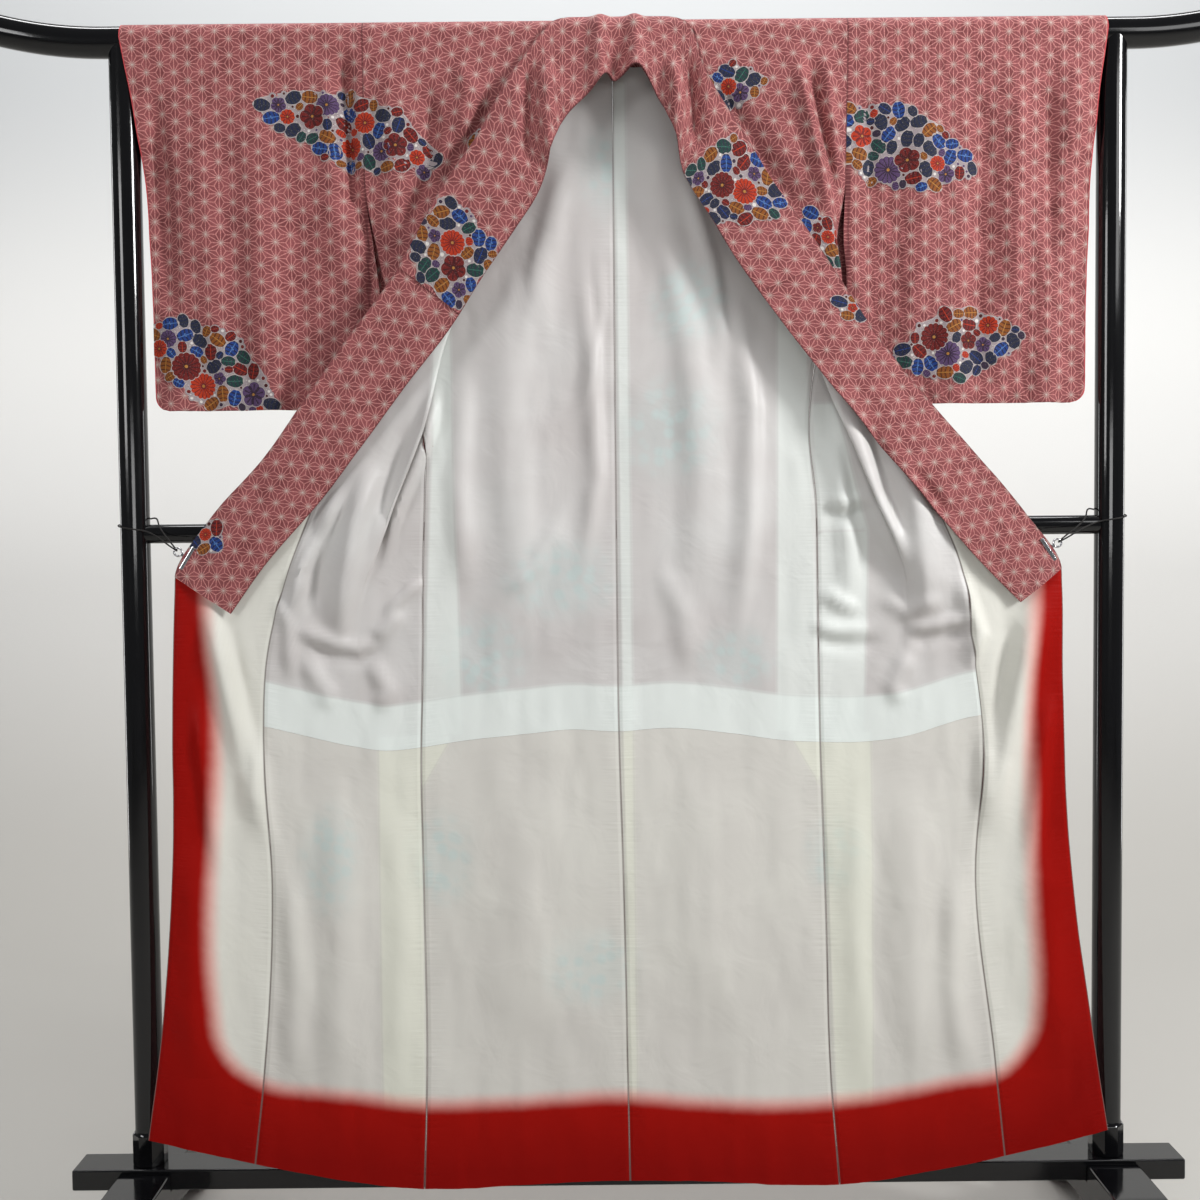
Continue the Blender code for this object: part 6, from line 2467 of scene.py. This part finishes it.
@dataclass
class FlowerPrints:
    """The bunches of flowers dyed on the sleeves, the body and the over-collar."""

    seam_left: Bunch = Bunch((-0.372, 1.584), (0.14, 0.05), -18, 11, (
        (-55, 20, 17, 5, Dye.RED), (-34, 34, 14.5, 14, Dye.PURPLE), (-3, -20, 14.5, 14, Dye.VERMILION),
        (18, 11, 14, 14, Dye.VERMILION), (61, -23, 16, 5, Dye.RED), (42, -30, 13, 12, Dye.PURPLE),
        (-102, 36, 10.5, 5, Dye.PURPLE), (-90, 20, 10, 10, Dye.VERMILION), (90, -38, 10, 10, Dye.VERMILION),
        (99, -56, 10, 5, Dye.PURPLE),
    ))
    sleeve_left: Bunch = Bunch((-0.581, 1.262), (0.108, 0.054), -33, 12, (
        (-34, -1, 19, 14, Dye.RED), (-12, -28, 17.5, 16, Dye.VERMILION), (-72, 25, 12, 12, Dye.VERMILION),
        (-58, 38, 12, 12, Dye.PURPLE), (60, -41, 17, 5, Dye.PURPLE), (12, -18, 9, 5, Dye.PURPLE),
    ))
    sleeve_right: Bunch = Bunch((0.385, 1.556), (0.124, 0.056), -20, 21, (
        (-45, 15, 15, 5, Dye.VERMILION), (18, -20, 17, 5, Dye.RED), (-8, -32, 18, 14, Dye.PURPLE),
        (59, -26, 10.5, 12, Dye.VERMILION), (71, -40, 12, 5, Dye.PURPLE),
    ))
    sleeve_right_low: Bunch = Bunch((0.477, 1.282), (0.094, 0.05), 10, 22, (
        (-34, 10, 18.5, 14, Dye.RED), (-15, -14, 16.5, 14, Dye.PURPLE), (15, 5, 12.5, 5, Dye.RED),
        (44, 26, 12.5, 12, Dye.VERMILION), (37, -1, 10.5, 5, Dye.PURPLE),
    ))
    body_left: Bunch = Bunch((-0.188, 1.566), (0.026, 0.02), 30, 32, ((4, 0, 8, 5, Dye.VERMILION),))
    body_right: tuple[Bunch, ...] = (
        Bunch((0.159, 1.64), (0.046, 0.03), 5, 41, (
            (-6, -2, 10.5, 12, Dye.VERMILION), (10, -11, 12, 5, Dye.PURPLE),
        )),
        Bunch((0.282, 1.425), (0.044, 0.026), -65, 42, (
            (8, 4, 9, 12, Dye.VERMILION), (-6, 16, 7, 5, Dye.RED),
        )),
    )
    collar: tuple[Bunch, ...] = (
        Bunch((-0.234, 1.408), (0.074, 0.058), 92, 51, (
            (3, 13, 16.5, 16, Dye.VERMILION), (3, -20, 17, 5, Dye.RED), (-21, 22, 9, 5, Dye.PURPLE),
            (10, -48, 10, 5, Dye.PURPLE),
        )),
        Bunch((0.153, 1.496), (0.084, 0.058), -12, 52, (
            (-13, 0, 17.5, 14, Dye.RED), (19, -8, 17, 16, Dye.VERMILION), (-50, 14, 10, 5, Dye.PURPLE),
            (34, 17, 9.5, 5, Dye.PURPLE),
        )),
    )
    collar_low: tuple[Bunch, ...] = (
        Bunch((-0.583, 1.023), (0.034, 0.024), -50, 61, ((0, 0, 8.5, 12, Dye.VERMILION),)),
        Bunch((0.321, 1.328), (0.027, 0.018), -30, 62, ((0, 0, 7, 5, Dye.VERMILION),)),
    )

    def find(self, sheet: Sheet, place: tuple[float, float]) -> tuple[Array, Array]:
        """Where (x, z) lies in the cloth's front layer, and how the cloth is turned there.

        The turn is the rotation or reflection nearest to the change from offsets in x and z to
        offsets in the cloth. A place beside the cloth is carried on by that turn.

        Args:
            sheet: The cloth.
            place: (x, z).

        Returns:
            The place in the cloth, and the turn as a 2 x 2.
        """
        far = np.hypot(sheet.points[..., 0] - place[0], sheet.points[..., 2] - place[1])
        facing = sheet.normals()[..., 1] < -0.1
        i, j = np.unravel_index(np.argmin(np.where(facing, far, 9.0)), far.shape)
        k, m = min(max(i, 4), far.shape[0] - 5), min(max(j, 4), far.shape[1] - 5)
        seen = sheet.points[..., ::2]
        moves = np.stack([seen[k, m + 4] - seen[k, m - 4], seen[k + 4, m] - seen[k - 4, m]])
        cloth = np.stack([sheet.uv[k, m + 4] - sheet.uv[k, m - 4], sheet.uv[k + 4, m] - sheet.uv[k - 4, m]])
        left, _, right = np.linalg.svd(np.linalg.inv(moves) @ cloth)
        turned = left @ right
        return sheet.uv[i, j] + (np.array(place) - seen[i, j]) @ turned, turned

    def print(self, cloth: str, sheet: Sheet, bunches: Sequence[Bunch], flat: tuple[float, float],
              rests_on: list[str], finishes: Finishes) -> None:
        """Args:
            cloth: The cloth's name without its last word.
            sheet: Its outer surface's grid.
            bunches: What is printed on it.
            flat: Its cut width and length; not used.
            rests_on: What it hangs on; not used.
            finishes: For the printed crepe.
        """
        motifs = Motifs()
        for bunch in bunches:
            Arrangement(motifs, bunch, *self.find(sheet, bunch.place)).fill()
        piece = motifs.lay("flowers_" + cloth, sheet, finishes.printed)

    def build(self, finishes: Finishes, body: dict[Side, Sheet], sleeves: dict[Side, Sheet],
              collar: Sheet, over: Sheet) -> None:
        """Print each piece of cloth that has flowers; two bunches run on across an armhole's seam.

        Args:
            finishes: The materials.
            body: The body panels.
            sleeves: The sleeves.
            collar: The collar.
            over: The over-collar.
        """
        rail, fronts = ["rail_lacquered"], ["body_left_cloth", "body_right_cloth"]
        left, right = Side.LEFT, Side.RIGHT
        on_right = (self.sleeve_right, self.sleeve_right_low)
        for cloth, sheet, bunches, flat, rests_on in (
            ("sleeve_left", sleeves[left], (self.seam_left, self.sleeve_left), (0.345, 1.08), rail),
            ("sleeve_right", sleeves[right], on_right, (0.345, 1.08), rail),
            ("body_left", body[left], (self.seam_left, self.body_left), (0.3, 3.3), rail),
            ("body_right", body[right], self.body_right, (0.3, 3.3), rail),
            ("over_collar", over, self.collar, (0.105, 0.98), ["collar_cloth"]),
            ("collar", collar, self.collar_low, (0.105, 2.05), fronts),
        ):
            self.print(cloth, sheet, bunches, flat, rests_on, finishes)


# Clips and ties


@dataclass
class ClipsAndTies:
    """The two chrome clips on the collar's ends and the elastic ties round the posts."""

    place: float = 0.36
    depth: float = -0.03855
    half: float = 0.00335
    length: float = 0.036
    wall: float = 0.0012
    bend: float = 0.0024
    grip: float = 0.0045
    clear: float = 0.0006
    neck: float = 0.007
    neck_width: float = 0.005
    eye_radius: float = 0.0055
    eye_wire: float = 0.0012
    tie_radius: float = 0.0011
    tie_turn: float = 0.0029
    tie_over: Table = ((0.655, -0.0165, 1.0345), (0.664, -0.001, 1.0465))
    tie_low: float = 1.03
    tie_high: float = 1.047
    row_next: float = 1.04  # level of the row from which the clip's place is measured
    easing: Edges = Edges(0.0003, 2, 40.0, 30.0)

    def build(self, finishes: Finishes) -> None:
        """Make both clips and both ties.

        Args:
            finishes: The materials.
        """
        for side in Side:
            levels = np.array([COLLAR_END, self.row_next])
            ends = okumi_points(side, levels, np.array([1.0]))[:, 0]
            ends[:, 1] -= LAYER + LINING + GAP
            eye = self.clip(side, ends[0], ends[1], finishes.chrome)
            self.tie(side, eye, finishes.elastic)

    def clip(self, side: Side, end: Array, beside: Array, material: bpy.types.Material) -> Array:
        """A clip: a bent strip round the collar's edge, a neck and a wire eye.

        Args:
            side: Which end of the collar.
            end: The end of the collar's seam.
            beside: The next point of the seam.
            material: Chrome.

        Returns:
            The middle of the eye.
        """
        name = "clip_" + side.word
        along = unit((end - beside) * (1, 0, 1))
        out = np.array([side.value * abs(along[2]), 0.0, abs(along[0])])
        middle = end + (beside - end) * self.place
        middle[1] = self.depth
        back, wide = self.clear + self.wall, self.half + self.wall
        bend = np.radians(np.linspace(0, 90, 7))
        r = self.bend
        corner = np.stack([back - r + r * np.sin(bend), wide - r + r * np.cos(bend)], 1)
        profile = np.concatenate([
            [(-self.grip, wide)], corner, corner[::-1] * (1, -1), [(-self.grip, -wide)],
            [(-self.grip, -self.half), (self.clear, -self.half)],
            [(self.clear, self.half), (-self.grip, self.half)],
        ])
        dress(self.strip(name + "_chrome", profile, middle, out, along * self.length / 2, material))
        near, far, wire = back - self.wall / 2, back + self.neck, self.eye_wire
        bar = np.array([(near, -wire), (far, -wire), (far, wire), (near, wire)])
        self.strip(name + "_neck", bar, middle, out, along * self.neck_width / 2, material)
        eye = middle + out * (far + self.eye_radius)
        turn = np.linspace(0, 2 * math.pi, 40, endpoint=False)[:, None]
        loop = eye + self.eye_radius * (out * np.cos(turn) + along * np.sin(turn))
        radii = np.full(len(loop), wire * 1.15)
        swept(name + "_eye", loop, radii, material, 16, True, DEEP)
        return eye

    def strip(self, name: str, profile: Array, middle: Array, out: Array, reach: Array,
              material: bpy.types.Material) -> bpy.types.Object:
        """A profile in (out, y) carried by reach to both sides of its middle."""
        around = middle + profile[:, :1] * out + profile[:, 1:] * DEEP
        return prism(name, around, reach, material, self.easing)

    def tie(self, side: Side, eye: Array, material: bpy.types.Material) -> None:
        """An elastic loop: a smooth path through the eye, over the crossbar and round the post.

        Args:
            side: Which post.
            eye: The middle of the clip's eye.
            material: Elastic.
        """
        over = [np.array(p) * (side.value, 1, 1) for p in self.tie_over]
        toward = unit((over[0] - eye) * (1, 0, 1))
        wire = eye + toward * self.eye_radius
        turn = np.radians(np.arange(0, 181, 45))[:, None]
        tip = wire - self.tie_turn * DEEP * np.cos(turn) - self.tie_turn * toward * np.sin(turn)
        reach = (POST_RADIUS + 2 * GAP + self.tie_radius) / math.cos(math.radians(15))
        around = np.radians(np.arange(320, 49, -30))
        height = np.linspace(self.tie_high, self.tie_low, len(around))
        wrap = np.stack([side.value * (POST_X - reach * np.cos(around)), -reach * np.sin(around), height], 1)
        knots = np.concatenate([tip, over, wrap, tip[:1]])
        keys = running(knots)
        path = smooth(keys, knots, np.linspace(0, keys[-1], 121)[:-1])
        radii = np.full(len(path), self.tie_radius)
        dress(swept("tie_" + side.word + "_elastic", path, radii, material, 12, True))


def main() -> None:
    """Load the frame and build each sub-assembly in order."""
    logging.basicConfig(level=logging.INFO, format="%(message)s")
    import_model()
    Studio().build()
    finishes = Finishes.made()
    UprightFrame().build(finishes)
    StandBase().build(finishes)
    marks = Marks()
    body = BodyPanels().build(finishes, marks)
    OverlapPanels().build(finishes, marks)
    sleeves = Sleeves().build(finishes)
    FlowerPrints().build(finishes, body, sleeves, *Collar().build(finishes))
    ClipsAndTies().build(finishes)
    log.info("sizes kept")


if __name__ == "__main__":
    main()
